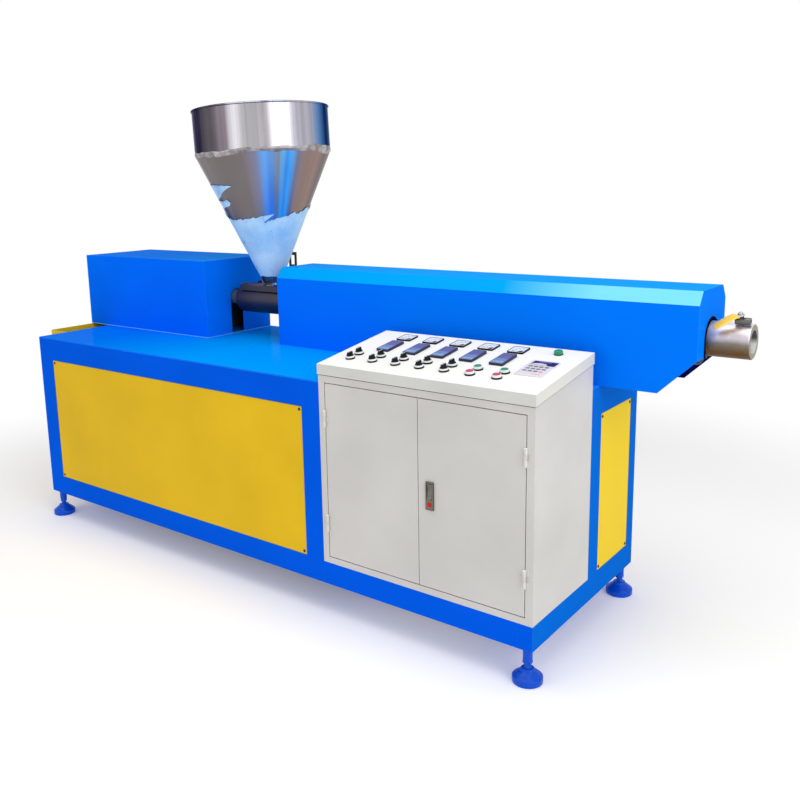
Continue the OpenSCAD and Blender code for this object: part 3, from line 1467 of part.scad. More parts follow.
module switchgear() placed() color([0.8, 0.8, 0.78]) {
    x0 = cab_x + stile_w;
    x1 = base_len - stile_w;
    z0 = low_face + 2 * sill_h;
    z1 = door_z1 - 2 * head_h;
    y = gear_plate_y - gear_plate_t;
    block([x0, y, z0], [x1, gear_plate_y, z1]);
    // Spacers behind the plate
    for (x = [x0 + stile_w, x1 - stile_w]) for (z = [z0 + stile_w, z1 - stile_w])
        translate([x, gear_plate_y, z]) rotate([-90, 0, 0]) cylinder(h = gear_plate_gap, d = gear_plate_gap);
    // Drive with cooling grooves in its face
    dx = x0 + stile_w;
    difference() {
        block([dx, y - drive_d, z1 - stile_w - drive_h], [dx + drive_w, y, z1 - stile_w]);
        for (k = [1:8]) block([dx + drive_w * 0.15, y - drive_d - cut, z1 - stile_w - drive_h +
            k * stile_w / 2], [dx + drive_w * 0.85, y - drive_d + cab_sheet,
            z1 - stile_w - drive_h + k * stile_w / 2 + cab_sheet * 2]);
    }
    // Row of contactors
    cx = dx + drive_w + stile_w;
    for (k = [0:contactor_count - 1]) {
        c0 = cx + k * (contactor_w + door_gap);
        block([c0, y - contactor_d * 0.7, z1 - stile_w - contactor_h],
            [c0 + contactor_w, y, z1 - stile_w]);
        block([c0 + contactor_w * 0.2, y - contactor_d, z1 - stile_w - contactor_h * 0.75],
            [c0 + contactor_w * 0.8, y - contactor_d * 0.7, z1 - stile_w - contactor_h * 0.25]);
    }
    // Main breaker with its toggle
    bz = z1 - 2 * stile_w - 2 * contactor_h - strip_h;
    block([cx, y - contactor_d, bz - contactor_h], [cx + breaker_w, y, bz + contactor_h * 0.7]);
    block([cx + breaker_w * 0.4, y - contactor_d - strip_d / 3, bz - contactor_h * 0.3],
        [cx + breaker_w * 0.6, y - contactor_d, bz]);
    // Relays beside the breaker
    for (k = [1:3]) {
        r0 = cx + breaker_w + k * stile_w + (k - 1) * contactor_w;
        block([r0, y - contactor_d * 0.6, bz - contactor_h * 0.8], [r0 + contactor_w, y, bz]);
    }
    // Terminal strip
    for (k = [0:19]) {
        t0 = dx + k * (x1 - dx - stile_w) / 20;
        block([t0, y - strip_d, z0 + stile_w], [t0 + (x1 - dx - stile_w) / 20 - door_gap, y,
            z0 + stile_w + strip_h]);
    }
    // Mains gland in the cabinet's floor
    translate([gland_x, gland_y, low_face - gland_d / 2]) ring_z(gland_d, gland_d / 2 - fit, gland_d / 3);
    translate([gland_x, gland_y, low_face - gland_d / 3]) ring_z(gland_d / 3, gland_d * 0.68, gland_d / 2);
}

base_frame();
top_plate();
front_panel();
end_panels();
rear_panels();
panel_screws();
levelling_feet();
belt_guard();
motor();
motor_pulley();
drive_belts();
gearbox_case();
bearings();
gearbox_pulley();
input_shaft();
mid_shaft();
output_gear();
gearbox_cover();
barrel();
screw();
feed_flange();
heater_bands();
thermocouples();
barrel_supports();
barrel_cover();
gate_frame();
slide_gate();
hopper_cone();
hopper_rim();
die_adapter();
valve_body();
valve_handle();
cabinet_body();
cabinet_lid();
left_door();
right_door();
door_hinges();
lock_housing();
lock_handle();
lock_button();
switchgear();
ammeters();
temperature_controllers();
switch_bezels();
pilot_lamp();
inverter_keypad();
switch_knob(0);  // switch_knob_1
switch_knob(1);  // switch_knob_2
switch_knob(2);  // switch_knob_3
switch_knob(3);  // switch_knob_4
switch_knob(4);  // switch_knob_5
switch_knob(5);  // switch_knob_6
switch_knob(6);  // switch_knob_7
switch_knob(7);  // switch_knob_8
switch_knob(8);  // switch_knob_9
switch_knob(9);  // switch_knob_10
push_button(0, [0.75, 0.06, 0.08]);  // push_button_1
push_button(1, [0.1, 0.6, 0.2]);  // push_button_2
push_button(2, [0.75, 0.06, 0.08]);  // push_button_3
push_button(3, [0.1, 0.6, 0.2]);  // push_button_4
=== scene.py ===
# %% [markdown]
# # An extruder machine
#
# The solids of the machine come from its CAD model, packed as a fixed frame. This lesson
# dresses them: it gives each solid a finish, and replaces the small pieces that people
# look at closely, such as meters, switches, feet and the lock, by finer surfaces. The
# frame is loaded first, because every place below is worked out from it.

# %% Load the frame
import json
import math

import bmesh
import bpy
import numpy as np
from mathutils import Matrix, Vector


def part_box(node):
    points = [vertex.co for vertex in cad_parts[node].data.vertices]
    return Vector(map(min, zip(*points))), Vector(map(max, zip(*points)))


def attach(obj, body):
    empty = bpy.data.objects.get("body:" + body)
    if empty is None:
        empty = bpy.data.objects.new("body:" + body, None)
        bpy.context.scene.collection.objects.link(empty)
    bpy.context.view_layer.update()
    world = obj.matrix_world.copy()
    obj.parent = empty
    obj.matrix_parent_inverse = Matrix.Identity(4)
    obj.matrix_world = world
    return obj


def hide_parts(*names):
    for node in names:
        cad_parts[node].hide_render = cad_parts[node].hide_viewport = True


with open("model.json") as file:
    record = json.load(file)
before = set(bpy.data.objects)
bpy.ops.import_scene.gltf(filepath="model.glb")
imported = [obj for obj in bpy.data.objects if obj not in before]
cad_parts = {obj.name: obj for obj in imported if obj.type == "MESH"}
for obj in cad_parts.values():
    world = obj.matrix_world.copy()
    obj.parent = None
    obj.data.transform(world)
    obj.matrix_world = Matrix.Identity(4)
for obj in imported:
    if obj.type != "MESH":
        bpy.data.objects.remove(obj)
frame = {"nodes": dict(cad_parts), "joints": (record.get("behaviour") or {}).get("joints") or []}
nodes = frame["nodes"]
joints = {joint["name"]: joint for joint in frame["joints"]}
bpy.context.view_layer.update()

# %% [markdown]
# Drawings of a machine are in millimetres and start from a corner of its base. So the
# pieces below are placed in base coordinates: x from the base's left end, y from its
# front, z from its underside. The lid of the cabinet slopes, and everything on it is
# placed with u to the right, v up the slope and n square out of the lid.

# %% Places on the machine
MM = 0.001
BASE_LENGTH, BASE_DEPTH = 2500, 775
BARREL_Y, BARREL_Z, COVER_END = 563, 896, 2806
HOPPER_X, HOPPER_Z = 943, 965
plate_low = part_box("top_plate")[0]
base_corner = np.array([plate_low.x, plate_low.y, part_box("base_frame")[0].z])


def on_base(x, y, z):
    """The frame's metres for base coordinates in millimetres."""
    return base_corner + MM * np.array([x, y, z], float)


def unit(v):
    v = np.asarray(v, float)
    return v / np.linalg.norm(v)


X, Y, Z = np.eye(3)
SWITCH_U, SWITCH_V = 76, 83
first_knob = joints["knob_1_turn"]
lid_normal = unit(first_knob["axis"])
lid_up = np.cross(lid_normal, X)
lid_corner = np.array(first_knob["pos_m"]) - MM * (SWITCH_U * X + SWITCH_V * lid_up)


def on_lid(u, v, n=0):
    """The frame's metres for a place on the lid in millimetres."""
    return lid_corner + MM * (u * X + v * lid_up + n * lid_normal)


print("lid slope:", round(math.degrees(math.acos(lid_normal[2])), 2), "degrees")

# %% [markdown]
# Every new piece is a skin over rings. A ring is a closed line of points, and a loft joins
# each ring to the next with quads. A turned knob, a plate with a rounded edge and a bent
# wire are all lofts; only their rings differ. Working the rings out as whole arrays keeps
# the formulas short and exact.

# %% Lofts and their outlines
CORNER_STEPS = 4


def loft(rings, start=True, end=True):
    """Skin over rings, an array of (ring, point, xyz): point j of a ring joins point j of
    the next, and the last point joins the first. The end rings are capped when asked."""
    rings = np.asarray(rings, float)
    count, size, _ = rings.shape
    i, j = np.meshgrid(np.arange(count - 1), np.arange(size), indexing="ij")
    k = (j + 1) % size
    quads = np.stack(
        [i * size + j, i * size + k, (i + 1) * size + k, (i + 1) * size + j], -1
    )
    faces = quads.reshape(-1, 4).tolist()
    if start:
        faces.append(list(range(size))[::-1])
    if end:
        faces.append([(count - 1) * size + t for t in range(size)])
    return rings.reshape(-1, 3), faces


def full_turn(points):
    """Equal angles round a circle."""
    return np.linspace(0, 2 * math.pi, points, endpoint=False)


def on_arc(centre, radius, degrees):
    """Flat points on a circle at angles in degrees."""
    a = np.radians(degrees)
    return np.stack([centre[0] + radius * np.cos(a), centre[1] + radius * np.sin(a)], -1)


def arc(centre, radius, start, end, steps=6):
    return on_arc(centre, radius, np.linspace(start, end, steps))


def squared(value, power=0.5):
    """Sine or cosine raised to a power with its sign kept, which makes a circle squarish."""
    return np.sign(value) * abs(value) ** power


def box_line(width, length, corner, steps=CORNER_STEPS):
    """Rectangle with round corners: a quarter circle round each corner's centre."""
    a = np.linspace(0, math.pi / 2, steps + 1)
    quarter = corner * np.stack([np.cos(a), np.sin(a)], -1)
    turn = [np.array([[c, s], [-s, c]]) for c, s in [(1, 0), (0, 1), (-1, 0), (0, -1)]]
    centres = np.array([[1, 1], [-1, 1], [-1, -1], [1, -1]])
    centres = centres * [width / 2 - corner, length / 2 - corner]
    return np.concatenate([quarter @ t + c for t, c in zip(turn, centres)])


def at_height(line, z):
    """A flat line as a ring at height z."""
    return np.column_stack([line, np.full(len(line), float(z))])


def turned(profile, points=48, whole=False):
    """Body of revolution: each (radius, height) of the profile is a ring round z. A whole
    profile comes back to its own start, so it needs no caps."""
    profile = np.asarray(profile, float)
    a = full_turn(points)
    r, z = profile[:, :1], profile[:, 1:]
    rings = np.stack([r * np.cos(a), r * np.sin(a), z + 0 * a], -1)
    if whole:
        rings = np.concatenate([rings, rings[:1]])
    return loft(rings, not whole, not whole)


def raised_box(width, length, height, corner, edge):
    """Plate with round corners: its upper edge follows a quarter circle, where the ring
    shrinks by edge*(1-cos) while it climbs by edge*sin."""
    t = np.linspace(0, math.pi / 2, 5)
    rings = [at_height(box_line(width, length, corner), 0)]
    for s, c in zip(np.sin(t), np.cos(t)):
        w, h = width - 2 * edge * (1 - c), length - 2 * edge * (1 - c)
        inner = max(corner - edge * (1 - c), 0.2 * corner)
        rings.append(at_height(box_line(w, h, inner), height - edge + edge * s))
    return loft(rings)


def dished_box(width, length, height, corner, edge, border, depth):
    """The same plate with a sunk field: past the border its rings drop by depth."""
    points, _ = raised_box(width, length, height, corner, edge)
    rings = points.reshape(-1, 4 * (CORNER_STEPS + 1), 3)
    w, h = width - 2 * border, length - 2 * border
    lip = at_height(box_line(w, h, corner * 0.6), height)
    slope = at_height(box_line(w - depth * 0.5, h - depth * 0.5, corner * 0.5), height - depth)
    return loft(np.concatenate([rings, [lip, slope]]))


def swept(path, radius, points):
    """Round bar along a path. At each point the ring stands square to the path; one fixed
    direction, never along the path, keeps the rings from twisting."""
    path = np.asarray(path, float)
    ahead = np.gradient(path, axis=0)
    ahead /= np.linalg.norm(ahead, axis=1)[:, None]
    fixed = np.eye(3)[np.argmin(np.abs(ahead).sum(0))]
    side = np.cross(ahead, fixed)
    side /= np.linalg.norm(side, axis=1)[:, None]
    up = np.cross(side, ahead)
    a = full_turn(points)[:, None]
    radius = np.broadcast_to(radius, len(path))[:, None, None]
    return loft(path[:, None] + radius * (np.cos(a) * side[:, None] + np.sin(a) * up[:, None]))


def placed(form, origin, x_axis=X, z_axis=Z):
    """Form in millimetres set down at a place in metres, with its own x and z along the
    two axes given."""
    points, faces = form
    x, z = unit(x_axis), unit(z_axis)
    return origin + MM * points @ np.array([x, np.cross(z, x), z]), faces


def moved(form, x, y, z=0.0):
    return form[0] + [x, y, z], form[1]


def on_lid_form(form, u, v, n=0):
    return placed(form, on_lid(u, v, n), X, lid_normal)


print("a plate has", len(raised_box(10, 10, 2, 1, 0.5)[0]), "points")

# %% [markdown]
# A piece is one mesh made of one or more forms. Doubled points are merged, normals are
# turned outwards and edges over 35 degrees stay sharp. Then the piece rides on the body
# that carries it, and stands for the CAD node it replaces.

# %% From forms to pieces
SHARP_ANGLE, SAME_PLACE = math.radians(35), 1e-6


def linked(name, data):
    """New object in the scene."""
    made = bpy.data.objects.new(name, data)
    bpy.context.scene.collection.objects.link(made)
    return made


def make(name, forms, finish, body="base", replaces=()):
    """One piece of forms in metres, on its body, in place of the CAD nodes it replaces."""
    mesh = bpy.data.meshes.new(name)
    points, faces, first = [], [], 0
    for form_points, form_faces in forms:
        points.append(form_points)
        faces += [[first + i for i in face] for face in form_faces]
        first += len(form_points)
    mesh.from_pydata(np.concatenate(points).tolist(), [], faces)
    shape = bmesh.new()
    shape.from_mesh(mesh)
    bmesh.ops.remove_doubles(shape, verts=shape.verts, dist=SAME_PLACE)
    bmesh.ops.dissolve_degenerate(shape, edges=shape.edges, dist=SAME_PLACE)
    bmesh.ops.recalc_face_normals(shape, faces=shape.faces)
    shape.to_mesh(mesh)
    shape.free()
    mesh.shade_smooth()
    mesh.set_sharp_from_angle(angle=SHARP_ANGLE)
    mesh.materials.append(finish)
    piece = linked(name, mesh)
    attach(piece, body)
    if replaces:
        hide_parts(*replaces)


print("edges stay sharp over", round(math.degrees(SHARP_ANGLE)), "degrees")

# %% [markdown]
# ## Finishes
#
# Paint on sheet metal is never one flat colour. It has a soft waviness like orange peel and a
# slightly uneven gloss, and here a lighter line along each edge is a painted highlight. One
# recipe makes all of these from noise on the Object coordinates, and a Bevel node rounds the
# sharp edges of the CAD solids in the shading only, so they catch the light as folded sheet does.

# %% A recipe for finishes
BLACK, WHITE = (0, 0, 0, 1), (1, 1, 1, 1)
PAINT_EDGE, METAL_EDGE, PLASTIC_EDGE = 1.6, 0.8, 0.5
RIGHT_SPAN, TOP_SPAN, SLOPE_SPAN, REAR_SPAN = (700, 1300), (300, 1000), (2140, 2480), (600, 620)


def to_linear(colour):
    """A screen colour, three numbers 0-255, as linear light: ((c + 0.055) / 1.055) to the
    power 2.4. Four numbers are a linear colour already and stay."""
    if len(colour) == 4:
        return colour
    c = np.asarray(colour, float) / 255
    return tuple(np.where(c < 0.04045, c / 12.92, ((c + 0.055) / 1.055) ** 2.4)) + (1.0,)


def shade(colour, factor, lift=0.0):
    return tuple(min(1.0, c * factor + lift) for c in to_linear(colour)[:3]) + (1.0,)


class Wires:
    """Short calls to add nodes to a tree and to wire them."""

    def __init__(self, tree):
        self.tree = tree

    def node(self, kind, *inputs, **values):
        """New node. The inputs are fed in order; a value is set on the property or the
        input socket of that name."""
        made = self.tree.nodes.new("ShaderNode" + kind)
        for socket, value in zip(made.inputs, inputs):
            self.feed(socket, value)
        for key, value in values.items():
            if hasattr(made, key):
                setattr(made, key, value)
            else:
                self.feed(made.inputs[key.replace("_", " ")], value)
        return made

    def feed(self, socket, value):
        if isinstance(value, bpy.types.NodeSocket):
            self.tree.links.new(value, socket)
        elif socket.type == "RGBA":
            socket.default_value = to_linear(value)
        else:
            socket.default_value = np.asarray(value, float).tolist()

    def math(self, operation, *inputs):
        return self.node("Math", *inputs, operation=operation).outputs[0]

    def vector(self, operation, *inputs):
        """Vector maths. A dot product and a length come out as a number."""
        outputs = self.node("VectorMath", *inputs, operation=operation).outputs
        return outputs["Value" if operation in ("DOT_PRODUCT", "LENGTH") else "Vector"]

    def blend(self, share, first, second):
        return self.node("MixShader", share, first, second).outputs[0]


class Finish(Wires):
    """A material with a Principled shader, and the patterns that finishes are made of."""

    def __init__(self, name):
        self.material = bpy.data.materials.new(name)
        self.material.use_nodes = True
        super().__init__(self.material.node_tree)
        self.shader = self.tree.nodes["Principled BSDF"]
        self.place = self.node("TexCoord").outputs["Object"]

    def noise(self, scale, detail=3.0, stretch=(1, 1, 1), roughness=0.5):
        """Noise on the Object coordinates; stretch makes it finer along an axis."""
        place = self.node("Mapping", Vector=self.place, Scale=stretch).outputs[0]
        return self.node("TexNoise", Vector=place, Scale=scale, Detail=detail,
                         Roughness=roughness).outputs[0]

    def spread(self, value, start=0.0, end=1.0, low=0.0, high=1.0, way="LINEAR"):
        """A value's range from start to end spread over low to high."""
        return self.node("MapRange", Value=value, From_Min=start, From_Max=end, To_Min=low,
                         To_Max=high, interpolation_type=way).outputs[0]

    def between(self, factor, low, high):
        return self.spread(factor, low=low, high=high)

    def reach(self, axis, start, end):
        """How far a place lies along an axis: 0 at the start, 1 at the end, in metres."""
        return self.spread(self.vector("DOT_PRODUCT", self.place, axis), start, end)

    def facing(self, axis, start, end):
        """How far the surface faces an axis: the dot product of both, spread over 0 to 1."""
        normal = self.node("NewGeometry").outputs["Normal"]
        return self.spread(self.vector("DOT_PRODUCT", normal, axis), start, end)

    def turn(self, centre, x_axis, y_axis):
        """Angle round a centre as 0 to 1, from -180 to 180 degrees: atan2 of the place's
        reach along y and along x."""
        away = self.vector("SUBTRACT", self.place, centre)
        along = [self.vector("DOT_PRODUCT", away, axis) for axis in (y_axis, x_axis)]
        return self.spread(self.math("ARCTAN2", *along), -math.pi, math.pi)

    def ramp(self, factor, stops):
        """Colour ramp through (position, colour) stops, in rising order. A new ramp has two
        stops, so these take the ends."""
        made = self.node("ValToRGB", Fac=factor)
        ramp = made.color_ramp
        for element, (position, colour) in zip(ramp.elements, (stops[0], stops[-1])):
            element.position, element.color = position, to_linear(colour)
        for position, colour in stops[1:-1]:
            ramp.elements.new(position).color = to_linear(colour)
        return made.outputs[0]

    def mix(self, factor, first, second):
        """Mix of two colours, whose sockets are the Mix node's seventh and eighth."""
        made = self.node("Mix", factor, data_type="RGBA")
        self.feed(made.inputs[6], first)
        self.feed(made.inputs[7], second)
        return made.outputs[2]

    def edge(self, radius_mm):
        """Rounded normal of the Bevel node, and how far it leans from the flat one."""
        rounded = self.node("Bevel", samples=4, Radius=radius_mm * MM).outputs[0]
        flat = self.node("NewGeometry").outputs["Normal"]
        return rounded, self.spread(self.vector("DOT_PRODUCT", rounded, flat), 0.97, 0.75)

    def bump(self, height, distance, strength, normal=None):
        made = self.node("Bump", Height=height, Distance=distance, Strength=strength)
        if normal is not None:
            self.feed(made.inputs["Normal"], normal)
        return made.outputs[0]

    def set(self, **values):
        for key, value in values.items():
            self.feed(self.shader.inputs[key.replace("_", " ")], value)


def along_base(f, span, axis=0):
    """0 to 1 over a span of the base in millimetres, along its x or, with axis 1, its y."""
    return f.reach(np.eye(3)[axis], *[on_base(place, place, 0)[axis] for place in span])


def paint(name, colour, gloss, shine=0.18, coat=0.0, edge_highlight=1.35, peel=0.00006,
          right=None, end=None, top=None, slopes=None, inside=None):
    """Paint: mottled a little, orange peel, and a painted highlight where it runs over an edge.
    It may change towards the machine's right, and its right end may take a tone of painted
    light. Faces that look up may have a lighter tone of painted light, and slopes a painted
    highlight, each as a pair from left to right. Inside a cover, its rear wall is darkened
    with painted shade."""
    f = Finish(name)
    body = f.ramp(f.noise(3.0, 4.0), [(0.3, shade(colour, 0.93)), (0.7, shade(colour, 1.05))])
    if right:
        body = f.mix(along_base(f, RIGHT_SPAN), body, right)
    # The right end's own tone is painted light, for the light that falls on that end.
    if end:
        body = f.mix(f.facing(X, 0.5, 0.8), body, end)
    # Tops get a lighter tone and slopes a brighter one: painted light, and a painted highlight on
    # the slopes.
    if top:
        flat = f.mix(along_base(f, TOP_SPAN), *top)
        slope = f.mix(along_base(f, SLOPE_SPAN), *(slopes or top))
        upper = f.mix(f.facing(Z, 0.92, 0.97), slope, flat)
        body = f.mix(f.facing(Z, 0.35, 0.5), body, upper)
    # Painted shade: the rear wall inside a cover is darkened to the given colour.
    if inside:
        rear = along_base(f, REAR_SPAN, axis=1)
        body = f.mix(f.math("MULTIPLY", f.facing(-Y, 0.5, 0.8), rear), body, inside)
    # Over the rounded edges the colour turns lighter: a painted highlight.
    rounded, lean = f.edge(PAINT_EDGE)
    f.set(Base_Color=f.mix(lean, body, shade(colour, edge_highlight, 0.06)))
    f.set(Roughness=f.between(f.noise(14.0, 3.0), gloss - 0.05, gloss + 0.08))
    f.set(Specular_IOR_Level=shine, Coat_Weight=coat, Coat_Roughness=0.15)
    f.set(Normal=f.bump(f.noise(260.0, 1.0), peel, 0.6, rounded))
    return f.material


def metal(name, colour, rough, grain=(1, 1, 1), grain_scale=300.0, depth=0.00003, spread=0.1):
    """Bare metal: fine grain along the tool's way, and an uneven polish."""
    f = Finish(name)
    body = f.ramp(f.noise(9.0, 5.0), [(0.3, shade(colour, 0.88)), (0.7, shade(colour, 1.06))])
    rounded, lean = f.edge(METAL_EDGE)
    # Over the rounded edges the colour turns lighter: a painted highlight.
    f.set(Base_Color=f.mix(lean, body, shade(colour, 1.4)), Metallic=1.0)
    lines = f.noise(grain_scale, 2.0, grain)
    f.set(Roughness=f.between(lines, rough - spread / 2, rough + spread))
    f.set(Normal=f.bump(lines, depth, 0.5, rounded))
    return f.material


def plastic(name, colour, rough=0.4, grain=0.00004, coat=0.0, shine=0.35):
    """Moulded plastic: a fine spark-eroded grain and a faint variation of its gloss."""
    f = Finish(name)
    body = f.ramp(f.noise(30.0, 2.0), [(0.3, shade(colour, 0.95)), (0.7, shade(colour, 1.05))])
    rounded, _ = f.edge(PLASTIC_EDGE)
    f.set(Base_Color=body, Roughness=f.between(f.noise(90.0), rough - 0.04, rough + 0.06))
    f.set(Normal=f.bump(f.noise(1400.0, 1.0), grain, 0.5, rounded))
    f.set(Coat_Weight=coat, Specular_IOR_Level=shine)
    return f.material


# The end, top and slope tones given below are painted light, and the cover's inside colour is
# painted shade.
blue_paint = paint("blue_paint", (0, 89, 227), 0.3, shine=0.0, coat=0.03, end=(0, 104, 212),
                   top=[(0, 118, 242), (0, 132, 248)])
cover_paint = paint("cover_paint", (0, 112, 255), 0.3, shine=0.0, coat=0.03,
                    right=(0, 118, 250), end=(0, 122, 248),
                    top=[(0, 122, 242), (0, 158, 254)],
                    slopes=[(0, 164, 252), (124, 220, 253)], inside=(6, 14, 84))
foot_paint = paint("foot_paint", (0, 80, 204), 0.3, shine=0.05, coat=0.25)
yellow_paint = paint("yellow_paint", (225, 184, 30), 0.4, shine=0.06, end=(239, 205, 30))
cabinet_paint = paint("cabinet_paint", (204, 202, 198), 0.45, edge_highlight=1.1)
lid_paint = paint("lid_paint", (209, 209, 205), 0.4, shine=0.05, edge_highlight=1.1,
                  end=(217, 215, 206), top=[(254, 252, 246)] * 2)
grey_paint = paint("machine_grey_paint", (92, 104, 108), 0.45, peel=0.0002)
stainless = metal("polished_stainless", (205, 206, 208), 0.16, grain=(1, 1, 0.03),
                  grain_scale=260.0, depth=0.00002)
machined = metal("machined_steel", (188, 180, 174), 0.3, grain=(60, 1, 1), grain_scale=40.0,
                 depth=0.00004)
zinc = metal("zinc_plate", (186, 188, 192), 0.32)
barrel_steel = metal("oiled_barrel_steel", (70, 68, 78), 0.42, grain=(30, 1, 1),
                     grain_scale=60.0, depth=0.00008, spread=0.15)
valve_steel = metal("blackened_valve_steel", (104, 102, 104), 0.34)
screw_steel = metal("blackened_screw_steel", (74, 62, 50), 0.4)
lock_steel = metal("dull_lock_steel", (112, 110, 102), 0.36)
rubber = plastic("belt_rubber", (26, 26, 27), 0.7, grain=0.0001)
black_plastic = plastic("black_plastic", (20, 20, 22), 0.38, shine=0.15)
grey_plastic = plastic("light_grey_plastic", (206, 207, 208))
silver_plastic = plastic("silver_plastic", (186, 188, 190), 0.28, coat=0.3)
navy_plastic = plastic("navy_plastic", (34, 36, 64), 0.35)
painted_shadow_gap = plastic("painted_shadow_gap", (12, 14, 40), 0.9, shine=0.0)
window_plastic = plastic("window_film", (112, 108, 160), 0.3, shine=0.15)
key_plastic = plastic("key_grey_blue", (176, 192, 226))
pale_plastic = plastic("pale_plate", (226, 220, 226))
band_plastic = plastic("navy_band", (36, 30, 92), 0.3, shine=0.12)
key_grey = plastic("key_grey", (128, 130, 140), 0.5)
pink_plastic = plastic("pink_key", (232, 160, 172), 0.5)
collar_plastic = plastic("collar_white", (232, 234, 236), 0.3)
dial_white = plastic("dial_white", (238, 244, 248), 0.35, shine=0.1)
sealant = plastic("sealant", (110, 178, 246))
mark_black = plastic("mark_black", (30, 32, 38), 0.5)
red_plastic = plastic("red_button", (208, 14, 8), 0.3, coat=0.1, shine=0.15)
red_cap = plastic("red_cap", (200, 46, 84), 0.35, coat=0.1)
green_plastic = plastic("green_cap", (8, 142, 98), 0.3, coat=0.15)
sleeve_plastic = plastic("yellow_sleeve", (250, 205, 66), 0.35, coat=0.3)
print("finishes:", len(bpy.data.materials))

# %% [markdown]
# Some finishes follow the piece that wears them. A controller's face shades from slate
# blue up to violet. The rim and the cone get painted reflections: bands of a few named tones
# by their angle round the hopper. The adapter runs from a dark brown underside to a nearly
# white top: partly heat and oil tint, partly painted shade below and a painted highlight above.

# %% Finishes that follow a piece
f = Finish("controller_face")
FACE_LOW, FACE_HIGH = 186, 276
low_edge, high_edge = [on_lid(0, v) @ lid_up for v in (FACE_LOW, FACE_HIGH)]
face_tone = f.ramp(f.reach(lid_up, low_edge, high_edge), [
    (0.0, (120, 148, 192)), (0.42, (112, 136, 184)), (0.6, (100, 98, 158)), (1.0, (92, 86, 142))])
f.set(Base_Color=face_tone, Roughness=f.between(f.noise(60.0), 0.25, 0.35))
f.set(Specular_IOR_Level=0.15, Normal=f.bump(f.noise(1400.0, 1.0), 0.00004, 0.5))
face_plastic = f.material

REFLECTION_TONES = dict(
    black=(20, 16, 18), brown=(78, 42, 44), dusk=(72, 64, 72), mauve=(90, 80, 92),
    pale=(178, 176, 182), line=(122, 119, 122), lilac=(178, 176, 188), sky=(76, 132, 192),
    night=(24, 42, 94), taupe=(116, 108, 108), warm=(148, 122, 114), dark=(58, 52, 50),
    haze=(128, 128, 156), blue=(98, 170, 242), azure=(134, 218, 255), silver=(170, 166, 168))
# Painted reflections: the tone mirrored at each angle round the hopper, in degrees.
RIM_REFLECTION_BANDS = [
    (-180, "line"), (-150, "dusk"), (-124, "brown"), (-112, "brown"), (-107, "black"),
    (-98, "dusk"), (-75, "mauve"), (-70, "pale"), (-47, "pale"), (-41, "line"), (-36, "lilac"),
    (-4, "lilac"), (9, "sky"), (20, "night"), (58, "night"), (72, "pale"), (90, "line"),
    (112, "lilac"), (140, "mauve"), (162, "pale"), (180, "line")]
CONE_REFLECTION_BANDS = [
    (-180, "silver"), (-156, "taupe"), (-136, "silver"), (-118, "dark"), (-108, "taupe"),
    (-64, "taupe"), (-53, "haze"), (-46, "blue"), (-38, "blue"), (-34, "silver"), (-30, "azure"),
    (-21, "azure"), (-15, "haze"), (-7, "warm"), (10, "warm"), (26, "dark"), (40, "dark"),
    (60, "taupe"), (92, "silver"), (120, "taupe"), (146, "silver"), (164, "taupe"),
    (180, "silver")]
LEAN = math.radians(2.5)
hopper_place = on_base(HOPPER_X, BARREL_Y, HOPPER_Z)
hopper_x = np.array([math.cos(LEAN), 0, math.sin(LEAN)])
hopper_up = np.array([-math.sin(LEAN), 0, math.cos(LEAN)])


def painted_reflection_steel(name, bands, rough, line_scale, edge):
    """Steel with painted reflections: soft bands by the angle round the hopper, and fine lines
    within them from noise on that angle alone, with soft lighter patches of painted sheen.
    The edge is the tint of what it mirrors at a grazing angle."""
    f = Finish(name)
    turn = f.turn(hopper_place, hopper_x, Y)
    tone = f.ramp(turn, [((angle + 180) / 360, REFLECTION_TONES[tone]) for angle, tone in bands])
    lines = f.node("TexNoise", noise_dimensions="1D", Scale=line_scale, Detail=3.0)
    f.feed(lines.inputs["W"], turn)
    cloud = f.noise(7.0, 4.0)
    lines_and_reflections = f.mix(f.between(lines.outputs[0], -0.3, 0.55), tone, (112, 106, 108))
    # Soft lighter patches from the cloud noise are a painted sheen.
    f.set(Base_Color=f.mix(f.between(cloud, 0.0, 0.1), lines_and_reflections, (190, 186, 188)), Metallic=1.0)
    f.set(Roughness=f.between(cloud, rough - 0.04, rough + 0.08), Specular_Tint=edge)
    f.set(Normal=f.bump(f.noise(5.0, 3.0), 0.0025, 0.25))
    return f.material


rim_steel = painted_reflection_steel("rim_steel", RIM_REFLECTION_BANDS, 0.2, 90.0, (0.3, 0.36, 0.5, 1))
cone_steel = painted_reflection_steel("cone_steel", CONE_REFLECTION_BANDS, 0.28, 60.0, (0.9, 0.88, 0.9, 1))

f = Finish("hem_steel")
hem_tone = f.ramp(f.noise(26.0, 5.0), [
    (0.3, (112, 104, 104)), (0.5, (150, 144, 144)), (0.7, (188, 184, 184))])
f.set(Base_Color=hem_tone, Metallic=0.8, Roughness=f.between(f.noise(40.0), 0.35, 0.55))
f.set(Normal=f.bump(f.noise(60.0, 4.0), 0.001, 0.5))
hem_steel = f.material

f = Finish("film_blue")
film_tone = f.ramp(f.noise(6.0, 5.0, roughness=0.6), [
    (0.28, (146, 196, 240)), (0.5, (182, 222, 248)), (0.72, (218, 241, 253))])
spots = f.ramp(f.noise(120.0, 2.0), [(0.70, BLACK), (0.76, WHITE)])
f.set(Base_Color=f.mix(spots, film_tone, (96, 128, 190)))
f.set(Roughness=f.between(f.noise(30.0), 0.35, 0.55), Specular_IOR_Level=0.25)
f.set(Normal=f.bump(f.noise(22.0, 4.0), 0.0012, 0.5))
film_blue = f.material

